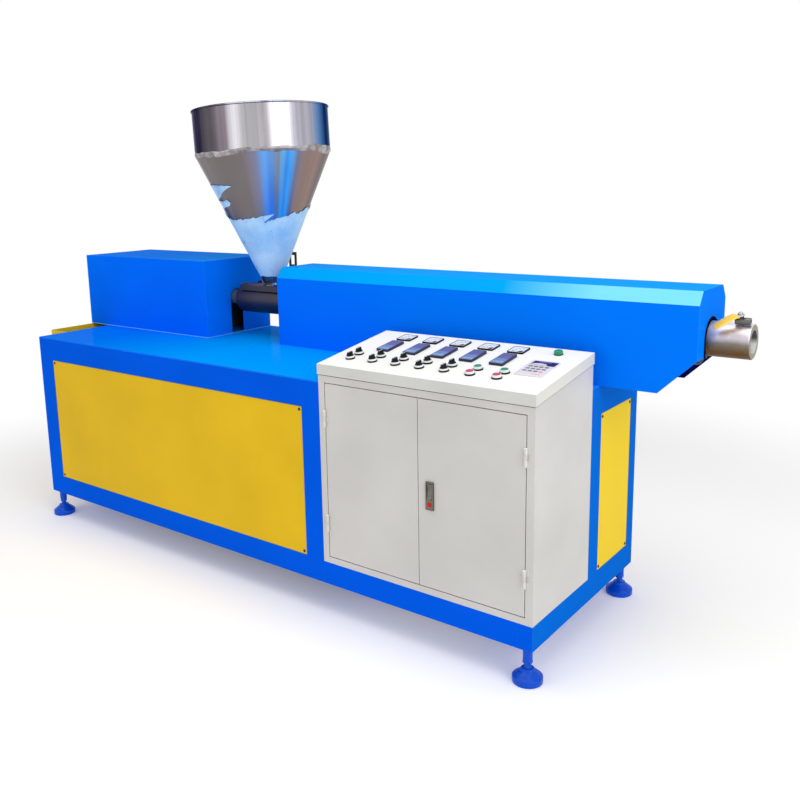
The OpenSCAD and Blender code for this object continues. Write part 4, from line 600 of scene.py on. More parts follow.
f = Finish("adapter_steel")
MOUTH_RADIUS, MOUTH_REACH, HEAT_AND_SHADE_REACH = 0.0355, 0.03, 0.055
HEAT_AND_SHADE_WAY = np.array([0, -0.33, 0.944])
axis_place = on_base(0, BARREL_Y, BARREL_Z)
middle = axis_place @ HEAT_AND_SHADE_WAY
# Dark brown below to nearly white on top: partly heat tint, partly painted shade below and a
# painted highlight on top.
heat_and_shade = f.ramp(f.reach(HEAT_AND_SHADE_WAY, middle - HEAT_AND_SHADE_REACH, middle + HEAT_AND_SHADE_REACH), [
    (0.0, (64, 42, 18)), (0.2, (98, 66, 26)), (0.36, (112, 82, 44)), (0.52, (118, 102, 80)),
    (0.64, (138, 128, 120)), (0.8, (206, 200, 208)), (1.0, (234, 227, 234))])
stains = f.ramp(f.noise(24.0, 5.0), [(0.42, BLACK), (0.62, WHITE)])
body = f.mix(f.between(stains, 0.0, 0.3), heat_and_shade, (104, 96, 92))
body = f.mix(f.facing(X, 0.8, 0.95), body, (142, 138, 120))
# The mouth is bright where light falls into it, on its lower side, and dark above
across = f.vector("MULTIPLY", f.vector("SUBTRACT", f.place, axis_place), (0, 1, 1))
in_mouth = f.math("LESS_THAN", f.vector("LENGTH", across), MOUTH_RADIUS)
mouth = f.ramp(f.reach(Z, axis_place[2] - MOUTH_REACH, axis_place[2] + MOUTH_REACH), [
    (0.3, (244, 244, 244)), (0.6, (96, 90, 92))])
body = f.mix(in_mouth, body, mouth)
# Inside the cover it is in the dark
cover_end = on_base(COVER_END, 0, 0)[0]
inside = f.reach(X, cover_end + 0.001, cover_end - 0.003)
bare = f.math("MULTIPLY", f.between(in_mouth, 0.85, 0.0), f.between(inside, 1.0, 0.0))
f.set(Base_Color=f.mix(inside, body, (12, 14, 34)), Metallic=bare, Specular_IOR_Level=0.1)
lathe = f.noise(40.0, 2.0, (60, 1, 1))
f.set(Roughness=f.between(lathe, 0.32, 0.46), Normal=f.bump(lathe, 0.00005, 0.5))
adapter_steel = f.material

# On the mounting plate the drive is pale, the contactors, breaker and relays are dark and
# the terminals below them beige; each lies in its own range of places
f = Finish("switchgear")
drive_end, plate_front, terminal_top = on_base(1946, 372.5, 212)
devices = f.mix(f.reach(X, drive_end, drive_end + MM), (206, 206, 202), (58, 60, 66))
devices = f.mix(f.reach(-Z, -terminal_top, -terminal_top + MM), devices, (188, 178, 146))
plate_tone = f.mix(f.reach(-Y, -plate_front, -plate_front + MM), (190, 192, 194), devices)
f.set(Base_Color=plate_tone, Roughness=0.45, Specular_IOR_Level=0.3)
switchgear_finish = f.material
print("finishes:", len(bpy.data.materials))

# %% [markdown]
# Each solid gets its finish as its one material. The names on the right are the pieces of the
# real machine.

# %% Finish the solids that stay
finished = [
    (blue_paint, "base_frame barrel_supports levelling_feet"),
    (cover_paint, "top_plate gearbox_cover barrel_cover"),
    (yellow_paint, "front_panel end_panels rear_panels belt_guard valve_handle"),
    (grey_paint, "motor gearbox_case"),
    (cabinet_paint, "cabinet_body left_door right_door"),
    (lid_paint, "cabinet_lid door_hinges"),
    (machined, "input_shaft mid_shaft output_gear screw"),
    (barrel_steel, "barrel feed_flange gate_frame motor_pulley gearbox_pulley"),
    (screw_steel, "panel_screws slide_gate"),
    (zinc, "bearings thermocouples"),
    (stainless, "heater_bands"),
    (cone_steel, "hopper_cone"),
    (rim_steel, "hopper_rim"),
    (adapter_steel, "die_adapter"),
    (valve_steel, "valve_body"),
    (lock_steel, "lock_housing lock_handle"),
    (switchgear_finish, "switchgear"),
    (rubber, "drive_belts"),
    (face_plastic, "temperature_controllers"),
    (silver_plastic, "switch_bezels"),
    (grey_plastic, "inverter_keypad"),
    (red_plastic, "lock_button push_button_1 push_button_3"),
    (green_plastic, "pilot_lamp push_button_2 push_button_4"),
    (black_plastic, "ammeters " + " ".join(f"switch_knob_{k}" for k in range(1, 11))),
]
finish_of = {name: finish for finish, names in finished for name in names.split()}
for name, solid in nodes.items():
    solid.data.materials.clear()
    solid.data.materials.append(finish_of[name])
print("finished solids:", len(finish_of))

# %% [markdown]
# ## Pieces on the base
#
# A levelling foot is a domed steel pad, a threaded stud, and a lock nut under a boss that
# is welded to the frame. All of these are profiles carried round an axis, apart from the
# nut: its outline is a hexagon, and near both faces a circle cuts off the corners.

# %% Levelling feet
FOOT_HEIGHT, FOOT_INSET = 116, 30


def hexagon(across, cap, points=48):
    """Six-sided line: half the width over the cosine of the angle to the nearest flat's
    middle, and never further out than the cap."""
    a = full_turn(points)
    from_flat = (a + math.pi / 6) % (math.pi / 3) - math.pi / 6
    r = np.minimum(across / 2 / np.cos(from_flat), cap)
    return r[:, None] * np.stack([np.cos(a), np.sin(a)], -1)


def nut(across, low, high, chamfer=1.6):
    """Hexagon rings whose cap grows from the flats to the corners over the chamfer."""
    corner = across / math.sqrt(3)
    flat = 0.97 * across / 2
    steps = [(flat, low), (corner, low + chamfer), (corner, high - chamfer), (flat, high)]
    return loft([at_height(hexagon(across, cap), z) for cap, z in steps])


def thread(radius, low, high, pitch=2.5, depth=0.8):
    """Crests and roots of a thread as a zigzag of (radius, height) points."""
    z = np.arange(low, high, pitch / 2)
    return np.column_stack([radius - depth * (np.arange(len(z)) % 2), z])


pad_profile = np.concatenate([
    [(0.1, 0), (44.5, 0), (46.5, 1), (47.5, 3), (47.5, 17)],
    arc((41.5, 17), 6, 10, 78),
    [(37, 28.2), (32, 32.6), (27, 36.2), (24, 38), (22.5, 39), (22, 41), (21.2, 44), (19, 46)],
    [(14, 46), (11.5, 47), (10, 49)],
    thread(10, 50, 60),
    [(10, 61)],
])
boss_profile = [
    (0.1, 71.8), (14, 71.8), (15, 73), (15, 110.5), (16, 112), (18, 113.6), (19, 115.8)]
foot_forms = []
for x in (FOOT_INSET, BASE_LENGTH - FOOT_INSET):
    for y in (FOOT_INSET, BASE_DEPTH - FOOT_INSET):
        floor_place = on_base(x, y, -FOOT_HEIGHT)
        for form in (turned(pad_profile), nut(27, 60, 72), turned(boss_profile)):
            foot_forms.append(placed(form, floor_place))
make("feet", foot_forms, foot_paint, replaces=["levelling_feet"])
print("feet:", len(foot_forms), "forms")

# %% [markdown]
# Each sheet panel is held by a screw at its corners. A screw head is a disc of rings from
# its rim to its middle. Its height falls off towards the rim, and drops where a point lies
# in the cross for the screwdriver.

# %% Panel screws
PANEL_LOW, PANEL_HIGH, SCREW_INSET, PANEL_SINK = 82, 633, 13, 2


def screw_head(radius, height, steps=12, points=48):
    """Polar grid: height*(1 - 0.75*(r/R)^2.4), less the cross, where the smaller of |x| and
    |y| is under 0.15 of the radius and the larger under 0.55 of it."""
    r, a = np.meshgrid(
        radius * np.linspace(1, 0.03, steps), full_turn(points), indexing="ij")
    x, y = r * np.cos(a), r * np.sin(a)
    near, far = np.minimum(abs(x), abs(y)), np.maximum(abs(x), abs(y))
    cross = (near < 0.15 * radius) & (far < 0.55 * radius)
    z = height * (1 - 0.75 * (r / radius) ** 2.4) - 0.4 * height * cross
    rings = np.stack([x, y, z], -1)
    return loft(np.concatenate([rings[:1] * [1, 1, 0], rings]))


def screw_corners(low, high):
    """Places of a panel's four screws: along the panel, and in height."""
    return [(a, z) for a in (low + SCREW_INSET, high - SCREW_INSET)
            for z in (PANEL_LOW + SCREW_INSET, PANEL_HIGH - SCREW_INSET)]


head = screw_head(5.5, 3)
screw_forms = [placed(head, on_base(a, PANEL_SINK, z), X, -Y)
               for a, z in screw_corners(92, 1604)]
screw_forms += [placed(head, on_base(BASE_LENGTH - PANEL_SINK, a, z), Y, X)
                for a, z in screw_corners(466, 725)]
screw_forms += [placed(head, on_base(PANEL_SINK, a, z), Y, -X)
                for a, z in screw_corners(50, 725)]
screw_forms += [placed(head, on_base(a, BASE_DEPTH - PANEL_SINK, z), X, Y)
                for a, z in screw_corners(92, 1210) + screw_corners(1290, 2408)]
make("screw_heads", screw_forms, screw_steel, replaces=["panel_screws"])
print("screws:", len(screw_forms))

# %% [markdown]
# The motor inside the base needs air. Machines like this have rows of louvres pressed out
# of their rear panels. A louvre is a grid too: along its length its height swells like a
# sine, and across it the height falls from the open lower edge to nothing at the upper one.

# %% Louvres in the rear panels
LOUVRE_SIZE, LOUVRE_LOW, LOUVRE_PITCH = (110, 15, 6), 420, 26


def louvre(length, width, rise, steps=(25, 9)):
    """Grid over s and t from 0 to 1: out = rise * sin(pi s)^0.35 * (1 - t^2)^0.7, where t
    runs from the open lower edge, t = 0, to the upper one. The open edge turns back in."""
    s, t = np.meshgrid(np.linspace(0, 1, steps[0]), np.linspace(0, 1, steps[1]), indexing="ij")
    out = rise * np.sin(math.pi * s) ** 0.35 * (1 - t**2) ** 0.7
    outer = np.stack([length * (s - 0.5), width * (t - 0.5), out], -1)
    inner = outer[:, ::-1] * [0.985, 0.93, 0.8] + [0, 0.5, -0.3]
    return loft(np.concatenate([outer, inner], axis=1))


hood = louvre(*LOUVRE_SIZE)
louvre_forms = []
for centre in (380, 520, 1980, 2120):
    for k in range(7):
        place = on_base(centre, BASE_DEPTH - PANEL_SINK, LOUVRE_LOW + LOUVRE_PITCH * k)
        louvre_forms.append(placed(hood, place, -X, Y))
make("rear_louvres", louvre_forms, yellow_paint)
print("louvres:", len(louvre_forms))

# %% [markdown]
# Seams are what tells sheet metal from a block. The gearbox's cover is sealed to the plate
# with a bead, a dark strip lies under the lid's rim, and a black strip of painted shadow
# lines the slot in the barrel cover's end, where the gap round the adapter is in shade.

# %% Seams
BEAD = 1.8 * MM
SLOT_OUTER, SLOT_INNER, SLOT_DEPTH = 68, 55.6, 50
low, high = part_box("gearbox_cover")
bead_line = np.concatenate([
    [(x, low.y) for x in np.linspace(low.x, high.x - BEAD, 12)],
    arc((high.x - BEAD, low.y + BEAD), BEAD, -90, 0, 5)[1:-1],
    [(high.x, y) for y in np.linspace(low.y + BEAD, high.y, 8)]])
make("cover_bead", [swept(at_height(bead_line, low.z + 0.4 * MM), BEAD, 10)], sealant)


def band(low_corner, high_corner, low_z, high_z, out):
    """Closed strip round a rectangle of the machine, standing a little proud of it, and
    sheared: it climbs to the back as the lid does."""
    size = [(b - a) / MM + 2 * out for a, b in zip(low_corner, high_corner)]
    middle = (np.asarray(low_corner) + high_corner) / 2
    line = box_line(*size, 2) * MM + middle
    inner = box_line(*[value - 4 for value in size], 1) * MM + middle
    rings = np.array([at_height(inner, low_z), at_height(line, low_z), at_height(line, high_z),
                      at_height(inner, high_z), at_height(inner, low_z)])
    rings[..., 2] += (rings[..., 1] - low_corner[1]) * lid_up[2] / lid_up[1]
    return loft(rings, False, False)


low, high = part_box("cabinet_body")
rim_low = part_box("cabinet_lid")[0].z
lid_seal = band((low.x, low.y), (high.x, high.y), rim_low - 2.2 * MM, rim_low + 1 * MM, 0.4)
make("lid_seal", [lid_seal], rubber)

# Painted shadow: a black strip lines the slot where the gap round the adapter is in shade.
slot_line = np.concatenate([
    arc((0, 0), SLOT_OUTER, 0, 180, 33), [(-SLOT_OUTER, -SLOT_DEPTH), (-SLOT_INNER, -SLOT_DEPTH)],
    arc((0, 0), SLOT_INNER, 180, 0, 33), [(SLOT_INNER, -SLOT_DEPTH), (SLOT_OUTER, -SLOT_DEPTH)]])
slot_shadow = loft([at_height(slot_line, z) for z in (-0.2, 1.4)])
make("adapter_slot_shadow", [placed(slot_shadow, on_base(COVER_END, BARREL_Y, BARREL_Z), Y, X)],
     painted_shadow_gap)
print("seams: bead, lid seal, slot strip")

# %% [markdown]
# ## Instruments on the lid
#
# The lid carries five meters, five controllers, ten rotary switches, four push buttons, a
# lamp and the keypad of the motor drive. Their marks are thin strokes: a small rectangle
# carried along a line. The few plain numbers come from Blender's own font and are made a
# mesh first, so that they can be set down like any other form.

# %% Strokes and numbers


def stroke(path, width, thick=0.2):
    """Flat line on a plate: at each point of a 2-D path, a rectangle across it."""
    path = np.asarray(path, float)
    ahead = np.gradient(path, axis=0)
    ahead /= np.linalg.norm(ahead, axis=1)[:, None]
    side = np.column_stack([-ahead[:, 1], ahead[:, 0]]) * width / 2
    corners = [(path - side, 0), (path + side, 0), (path + side, thick), (path - side, thick)]
    return loft(np.stack([at_height(line, z) for line, z in corners], axis=1))


def number(text, size, thick=0.2):
    """Characters of the built-in font as points and faces."""
    line = bpy.data.curves.new("number", "FONT")
    line.body, line.size, line.extrude, line.resolution_u = text, size, thick / 2, 2
    line.align_x, line.align_y = "CENTER", "CENTER"
    holder = linked("number", line)
    mesh = bpy.data.meshes.new_from_object(holder)
    points = np.empty(3 * len(mesh.vertices))
    mesh.vertices.foreach_get("co", points)
    faces = [list(face.vertices) for face in mesh.polygons]
    bpy.data.objects.remove(holder)
    bpy.data.curves.remove(line)
    bpy.data.meshes.remove(mesh)
    return points.reshape(-1, 3) + [0, 0, thick / 2], faces


print("the number 10 has", len(number("10", 4)[0]), "points")

# %% [markdown]
# A meter is a shallow black frame with a white dial sunk into it. Its scale is a quarter
# circle about a pivot in the lower right corner, which a black quarter disc covers, and
# its needle rests at zero.

# %% Ammeters
METER_V, ZONE_FIRST, ZONE_PITCH = 334, 137, 111
METER_SIZE, METER_HEIGHT, METER_FACE = 57, 6, 4.8
PIVOT, SCALE_RADIUS, COVER_CORNER = (19, -19), 34, (22.5, -22.5)
zone_places = [ZONE_FIRST + ZONE_PITCH * k for k in range(5)]

frame_form = dished_box(METER_SIZE, METER_SIZE, METER_HEIGHT, 2.5, 0.8, 2.2, 1.6)
case_form = moved(raised_box(50, 50, 48, 2, 1), 0, 0, -49)
dial_form = raised_box(51.4, 51.4, 0.5, 1, 0.2)
mark_forms = [stroke(arc(PIVOT, SCALE_RADIUS, 90, 180, 25), 0.7)]
for k in range(11):
    long = 4.5 if k % 2 == 0 else 2.5
    ends = [on_arc(PIVOT, radius, 180 - 9 * k) for radius in (SCALE_RADIUS, SCALE_RADIUS + long)]
    mark_forms.append(stroke(ends, 0.8))
for k, text in enumerate(["0", "10", "20", "30"]):
    mark_forms.append(moved(number(text, 5.2), *on_arc(PIVOT, 27, 174 - 26 * k)))
needle_form = stroke([on_arc(PIVOT, 4, 177), on_arc(PIVOT, 33, 177)], 0.9, 0.3)
cover_line = np.concatenate([[COVER_CORNER], arc(COVER_CORNER, 14, 90, 180, 9)])
pivot_cover = loft([at_height(cover_line, 0), at_height(cover_line, 0.9)])

frames, dials, marks = [], [], []
for u in zone_places:
    frames += [on_lid_form(frame_form, u, METER_V), on_lid_form(case_form, u, METER_V)]
    frames.append(on_lid_form(pivot_cover, u, METER_V, METER_FACE + 0.4))
    dials.append(on_lid_form(dial_form, u, METER_V, METER_FACE))
    marks += [on_lid_form(form, u, METER_V, METER_FACE + 0.45) for form in mark_forms]
    marks.append(on_lid_form(needle_form, u, METER_V, METER_FACE + 0.8))
make("meter_frames", frames, black_plastic, replaces=["ammeters"])
make("meter_dials", dials, dial_white)
make("meter_marks", marks, mark_black)
print("meters:", len(zone_places))

# %% [markdown]
# A controller of this size has a raised dark rim, two glossy windows for its figures, a row
# of lamps and a row of soft keys. Its face runs from slate blue at the keys to violet at
# the top.

# %% Temperature controllers
CONTROLLER_V, FACE_HEIGHT, DETAIL_HEIGHT = 231, 8.1, 8.5
controller_forms = [dished_box(49, 99, 9, 2.5, 1.2, 1.9, 0.9),
                    moved(raised_box(42, 85, 73, 1.5, 1), 0, 0, -74)]
controller_face = raised_box(45, 95, 0.5, 1.2, 0.2)
window_forms = [moved(raised_box(37, 19, 0.6, 1.5, 0.3), 0, 31),
                moved(raised_box(37, 15, 0.6, 1.5, 0.3), 0, 11)]
small_key = raised_box(7.6, 5.6, 1.0, 1.4, 0.5)
lamp_dot = turned([(0.05, 0.6), (0.9, 0.5), (1.2, 0), (0.05, 0)], 12)
key_forms = [moved(small_key, -14.4 + 9.6 * k, -33) for k in range(4)]
key_forms += [stroke([(-16, y), (16, y)], 0.7) for y in (-12, -22)]
key_forms += [moved(lamp_dot, -15 + 6 * k, -4) for k in range(6)]

frames, faces, windows, keys = [], [], [], []
for u in zone_places:
    frames += [on_lid_form(form, u, CONTROLLER_V) for form in controller_forms]
    faces.append(on_lid_form(controller_face, u, CONTROLLER_V, FACE_HEIGHT))
    windows += [on_lid_form(form, u, CONTROLLER_V, DETAIL_HEIGHT) for form in window_forms]
    keys += [on_lid_form(form, u, CONTROLLER_V, DETAIL_HEIGHT) for form in key_forms]
make("controller_frames", frames, navy_plastic,
     replaces=["temperature_controllers"])
make("controller_faces", faces, face_plastic)
make("controller_windows", windows, window_plastic)
make("controller_keys", keys, key_plastic)
print("controllers:", len(faces))

# %% [markdown]
# The keypad of the drive lies almost flat. A dark band at its top holds the display, a
# pale arch runs under the band, and below it are three rows of grey keys. The last row ends
# in a pink one, over a pink bar.

# %% Keypad of the drive
KEYPAD = (721, 193)


def half_oval(width, height, thick, points=24):
    """Upper half of an ellipse, standing on its long axis."""
    a = np.linspace(0, math.pi, points)
    line = np.column_stack([width / 2 * np.cos(a), height * np.sin(a)])
    return loft([at_height(line, 0), at_height(line, thick)])


def at_keypad(form, x=0.0, y=0.0, z=0.0):
    return on_lid_form(moved(form, x, y, z), *KEYPAD)


make("keypad_plate", [
    at_keypad(raised_box(92, 132, 5.5, 4, 2)),
    at_keypad(raised_box(76, 112, 19, 1, 0.5), 0, 0, -20),
    at_keypad(half_oval(54, 15, 0.7), -7, 22, 6.1),
], pale_plastic, replaces=["inverter_keypad"])
make("keypad_band", [at_keypad(raised_box(80, 35, 0.8, 3, 0.4), 4, 40, 5.4)], band_plastic)
make("keypad_display", [at_keypad(raised_box(42, 9, 0.5, 1.5, 0.2), 2, 50, 6.1)],
     window_plastic)
key_form = raised_box(14, 10, 1.4, 3, 0.6)
grey_keys = [at_keypad(key_form, -27 + 18 * i, y, 5.3)
             for y in (8, -12, -32) for i in range(4) if i < 3 or y > -32]
make("keypad_keys", grey_keys, key_grey)
make("keypad_stop", [at_keypad(key_form, 27, -34, 5.3),
                     at_keypad(raised_box(30, 4, 0.6, 1.8, 0.3), 22, -56, 5.3)],
     pink_plastic)
print("keypad keys:", len(grey_keys) + 1)

# %% [markdown]
# Every switch sits on a black gasket in a bright collar, with a neck through the lid and a
# contact block below. The ten rotary switches have a black knob with a narrow grip and a
# white pointer, and turn with their own joint. The push buttons have a flat coloured cap.

# %% Collars of the switches
COLLAR_LOW, COLLAR_CAP = 5.2, 15.2
SWITCH_PITCH, UPPER_V, BUTTON_U = 94.3, 132, 547.5


def collar(height, inner, outer_top=14.4):
    """Closed profile of a collar, from its inner foot over its rounded lip and back."""
    return turned(np.concatenate([
        [(inner, COLLAR_LOW), (COLLAR_CAP, COLLAR_LOW), (COLLAR_CAP, COLLAR_LOW + 1)],
        arc((outer_top - 0.8, height - 0.8), 0.8, 0, 90, 4),
        [(inner + 0.8, height), (inner, height - 0.8)]]), whole=True)


gasket = turned([(11, 0), (16.6, 0), (16.6, 4.4), (15.8, 5.2), (11, 5.2)], whole=True)
neck = turned([(0.1, -12.3), (11, -12.3), (11, 1.5), (0.1, 1.5)], 32)
block = moved(raised_box(30, 30, 34, 2, 1), 0, 0, -46)


def at_switch(form, place):
    return placed(form, place, X, lid_normal)


knob_places = [on_lid(SWITCH_U + SWITCH_PITCH * k, v)
               for v in (SWITCH_V, UPPER_V) for k in range(5)]
button_places = [on_lid(BUTTON_U + SWITCH_PITCH * k, v)
                 for k in range(2) for v in (SWITCH_V, UPPER_V)]
black_forms = [at_switch(form, place) for place in knob_places + button_places
               for form in (gasket, neck, block)]
bright_forms = [at_switch(collar(10.5, 9.5), place) for place in knob_places]
bright_forms += [at_switch(collar(12.5, 12.2, 14.6), place) for place in button_places]
make("switch_bodies", black_forms, black_plastic,
     replaces=["switch_bezels"])
make("switch_collars", bright_forms, collar_plastic)
print("switches:", len(knob_places), "rotary,", len(button_places), "push")

# %% [markdown]
# A knob turns, so its foot, grip and pointer ride on the knob's own body. The grip is a
# narrow block with round ends, and tapers towards its top.

# %% Rotary knobs
knob_foot = turned(np.concatenate([
    [(0.1, -11.7), (5.9, -11.7), (5.9, 10), (12.6, 10.6), (12.6, 12)],
    arc((11.2, 12), 1.4, 15, 90, 4), [(0.1, 13.6)]]))
GRIP_RINGS = [  # height, width and length
    (11.5, 11.4, 27.0), (19.0, 10.0, 25.6), (22.0, 9.4, 24.8), (23.2, 8.6, 23.4),
    (23.6, 7.6, 21.4)]
grip = loft([at_height(box_line(w, l, 0.48 * w, 6), z) for z, w, l in GRIP_RINGS])
pointer = moved(stroke([(0, -10), (0, 11.2)], 2.2, 0.3), 0, 0, 23.55)
for k, place in enumerate(knob_places, start=1):
    make(f"knob_grip_{k}", [at_switch(knob_foot, place), at_switch(grip, place)], black_plastic,
         body=f"knob_{k}", replaces=[f"switch_knob_{k}"])
    make(f"knob_pointer_{k}", [at_switch(pointer, place)], collar_plastic,
         body=f"knob_{k}")
print("knobs:", len(knob_places))

# %% [markdown]
# A push button's cap is a disc with a rounded rim, and rides on the button's own body. The
# lamp stands still: a ribbed green lens in a black ring.

# %% Push buttons and the lamp
LAMP = (718, 343)
cap_form = turned(np.concatenate([
    [(0.1, -9), (5.9, -9), (5.9, 3.4), (11.6, 3.4), (11.6, 12.6)],
    arc((10.6, 12.8), 1.0, 15, 90, 4), [(7, 13.9), (0.1, 14.1)]]))
for k, place in enumerate(button_places, start=1):
    finish, slot = (red_cap, "red_plastic") if k % 2 else (green_plastic, "green_plastic")
    make(f"button_cap_{k}", [at_switch(cap_form, place)], finish, body=f"button_{k}",
         replaces=[f"push_button_{k}"])


def ribbed_lens(radius, side, rise, points=96, ribs=24):
    """Lamp's lens: a cylinder under a quarter ellipse. Each radius is eased in and out by
    ribs of 3%, which fade out up the dome."""
    t = np.radians(np.linspace(8, 88, 10))
    dome = np.column_stack([radius * np.cos(t) ** 0.8, side + rise * np.sin(t)])
    profile = np.concatenate([[(radius, 1.2), (radius, side)], dome])
    a = full_turn(points)
    depth = 0.03 * np.clip(1 - (profile[:, 1:] - side) / rise, 0, 1)
    r = profile[:, :1] * (1 - depth * (0.5 + 0.5 * np.cos(ribs * a)))
    return loft(np.stack([r * np.cos(a), r * np.sin(a), profile[:, 1:] + 0 * a], -1))


ring = turned([(0.1, 0), (15, 0), (15, 2.2), (14.4, 3), (0.1, 3)])
make("lamp_ring", [on_lid_form(ring, *LAMP), on_lid_form(neck, *LAMP)], black_plastic,
     replaces=["pilot_lamp"])
make("lamp_lens", [on_lid_form(ribbed_lens(14.2, 10.5, 5.0), *LAMP)], green_plastic)
print("push buttons:", len(button_places), "and a lamp")

# %% [markdown]
# ## Lock, valve and hopper
#
# The door lock's lever lies in its pocket. It is thinner in the middle, where a finger gets
# behind it, and ends in a lip. The lock's red button is a disc with a rounded rim.

# %% Lock
LOCK_X, LEVER_TOP, BUTTON_Z = 2139, 458, 390


def lock_lever(width, length, thick, steps=24, points=24):
    """Superellipse rings along the lever: width holds to a round tip, thickness falls from
    full at the pin to six tenths, and rises again in a finger lip at the tip."""
    s = np.linspace(0, 1, steps)
    tip = np.sqrt(np.clip(1 - ((s - 0.86) / 0.16).clip(0, 1) ** 2, 0.02, 1))
    w = width * (0.35 + 0.65 * tip)
    t = thick * (1 - 0.4 * np.sin(math.pi * np.clip(s / 0.8, 0, 1)) ** 2 + 0.25 * (s > 0.88))
    s, w, t = s[:, None], w[:, None], t[:, None]
    a = full_turn(points)
    x, z = squared(np.cos(a)), squared(np.sin(a), 0.7)
    return loft(np.stack([w / 2 * x, -length * s + 0 * x, t / 2 * (1 + z)], -1))


lever_place = on_base(LOCK_X, -0.6, LEVER_TOP)
make("lock_lever", [placed(lock_lever(19.2, 50.6, 6.4), lever_place, X, -Y)], lock_steel,
     body="lock_lever", replaces=["lock_handle"])
button_form = turned(np.concatenate([
    [(0.1, 3.4), (7.9, 3.4), (7.9, 8.2)], arc((7.1, 8.2), 0.8, 20, 70, 3),
    [(5.5, 9.3), (3, 9.5), (0.1, 9.55)]]))
make("lock_push", [placed(button_form, on_base(LOCK_X, 0, BUTTON_Z), X, -Y)],
     red_plastic, body="lock_button", replaces=["lock_button"])
print("lock: lever and button")

# %% [markdown]
# The valve's lever is bare steel at its hub, bends down, and has a thick yellow sleeve
# dipped over the rest. Its section is a superellipse whose width and thickness are numbers
# along its reach, so one function makes the strap and the sleeve.

# %% Valve lever
VALVE_X, VALVE_TILT, VALVE_TURN = 2896, 19.5, 47
SLEEVE_START, SLEEVE_FULL, SLEEVE_END, END_RADIUS = 11, 11.8, 88, 12
LEVER_HEIGHT, BEND_START = 88, 22
tilt, turn = math.radians(VALVE_TILT), math.radians(180 + VALVE_TURN)
valve_up = np.array([0, -math.sin(tilt), math.cos(tilt)])
valve_side = np.array([0, math.cos(tilt), math.sin(tilt)])
lever_ahead = math.cos(turn) * X + math.sin(turn) * valve_side
valve_place = on_base(VALVE_X, BARREL_Y, BARREL_Z)


def strap(reach, rise, width, thick, points=28):
    """Bar along +x: at each reach a ring |y/w|^4 + |z/t|^4 = 1 about its rise."""
    reach, rise, width, thick = [v[:, None] for v in (reach, rise, width, thick)]
    a = full_turn(points)
    y, z = squared(np.cos(a)), squared(np.sin(a))
    return loft(np.stack([reach + 0 * y, width / 2 * y, rise + thick / 2 * z], -1))


def bend(s):
    """Rise of the lever: level at the hub, up 2 mm by s = 20, then down to its end."""
    past_bend = np.clip((s - BEND_START) / (SLEEVE_END - BEND_START), 0, 1)
    return LEVER_HEIGHT + 2 * np.interp(s, [0, 8, 20], [0, 0, 1]) - 18 * past_bend ** 1.2


def round_end(past, radius):
    """Half-circle end: the share of the full width that is left at a distance past the
    half circle's centre."""
    return np.sqrt(np.clip(1 - (past.clip(0) / radius) ** 2, 0.01, 1))


s = np.linspace(-9, 20, 18)
bare = strap(s, bend(s), 21 * round_end(-s, 9.5), 3 + 0 * s)
s = np.concatenate([[SLEEVE_START, 11.2, SLEEVE_FULL], np.linspace(13, 75, 30),
                    SLEEVE_END - END_RADIUS * np.linspace(0.95, 0, 10) ** 2])
share = np.clip((s - SLEEVE_START) / (SLEEVE_END - SLEEVE_START), 0, 1)
start_width = np.interp(s, [SLEEVE_START, SLEEVE_FULL], [0.9, 1])
sleeve_end = round_end(s - (SLEEVE_END - END_RADIUS), END_RADIUS)
sleeve_width = (28 + 2.5 * np.sin(share * math.pi)) * sleeve_end
thickness = 7 * np.interp(s, [SLEEVE_START, SLEEVE_FULL, 78, SLEEVE_END], [0.6, 1, 0.95, 0.55])
sleeve = strap(s, bend(s), sleeve_width * start_width, thickness)
hub = turned([(0.1, 86.3), (11, 86.3), (11.6, 86.9), (11.6, 89), (11, 89.6), (0.1, 89.6)])
stem = turned(np.concatenate([
    [(0.1, 68.2), (4, 68.2)], thread(4, 90, 97, 1.2, 0.4), [(3.2, 97.6), (0.1, 97.6)]]), 24)
washer = turned([(0.1, 89.6), (8.4, 89.6), (8.4, 90.8), (0.1, 90.8)], 32)
packing = turned([(4.3, 79), (8.3, 79), (9, 79.6), (9, 84.4), (8.3, 85), (4.3, 85)], whole=True)


def at_valve(form):
    return placed(form, valve_place, lever_ahead, valve_up)


make("valve_strap", [at_valve(form) for form in (bare, hub, stem, washer, nut(13, 90.8, 96, 1))],
     zinc, body="valve", replaces=["valve_handle"])
make("valve_sleeve", [at_valve(sleeve)], sleeve_plastic, body="valve")
make("valve_packing", [at_valve(packing)], rubber)
print("valve lever:", round(float(s.max())), "mm long")

# %% [markdown]
# The hopper is sheet steel. The rim is welded to the cone with a hammered hem, and the
# lower cone still wears the pale blue film that the sheet came with, torn off along a
# ragged line. Both are worked out in the hopper's own coordinates: an angle round its
# leaning axis and a height along it, where the cone's radius grows with the height.

# %% Hopper's own coordinates
OUTLET_RADIUS, RIM_RADIUS, CONE_HEIGHT = 33.5, 285.0, 555.0


def cone_radius(height):
    """Radius of the cone, and above its top that of the rim."""
    grown = OUTLET_RADIUS + (RIM_RADIUS - OUTLET_RADIUS) * height / CONE_HEIGHT
    return np.minimum(grown, RIM_RADIUS)


def round_hopper(degrees, height, off):
    """Points at an angle and a height, a distance off the sheet."""
    a, r = np.radians(degrees), cone_radius(height) + off
    return np.stack(np.broadcast_arrays(r * np.cos(a), r * np.sin(a), height), -1)


def waves(degrees, *terms):
    """Sum of sines round the hopper: (size, turns, start) each, with whole turns, so that
    the line closes on itself."""
    return sum(size * np.sin(np.radians(turns * degrees + start))
               for size, turns, start in terms)


def on_hopper(form):
    return placed(form, hopper_place, hopper_x, hopper_up)


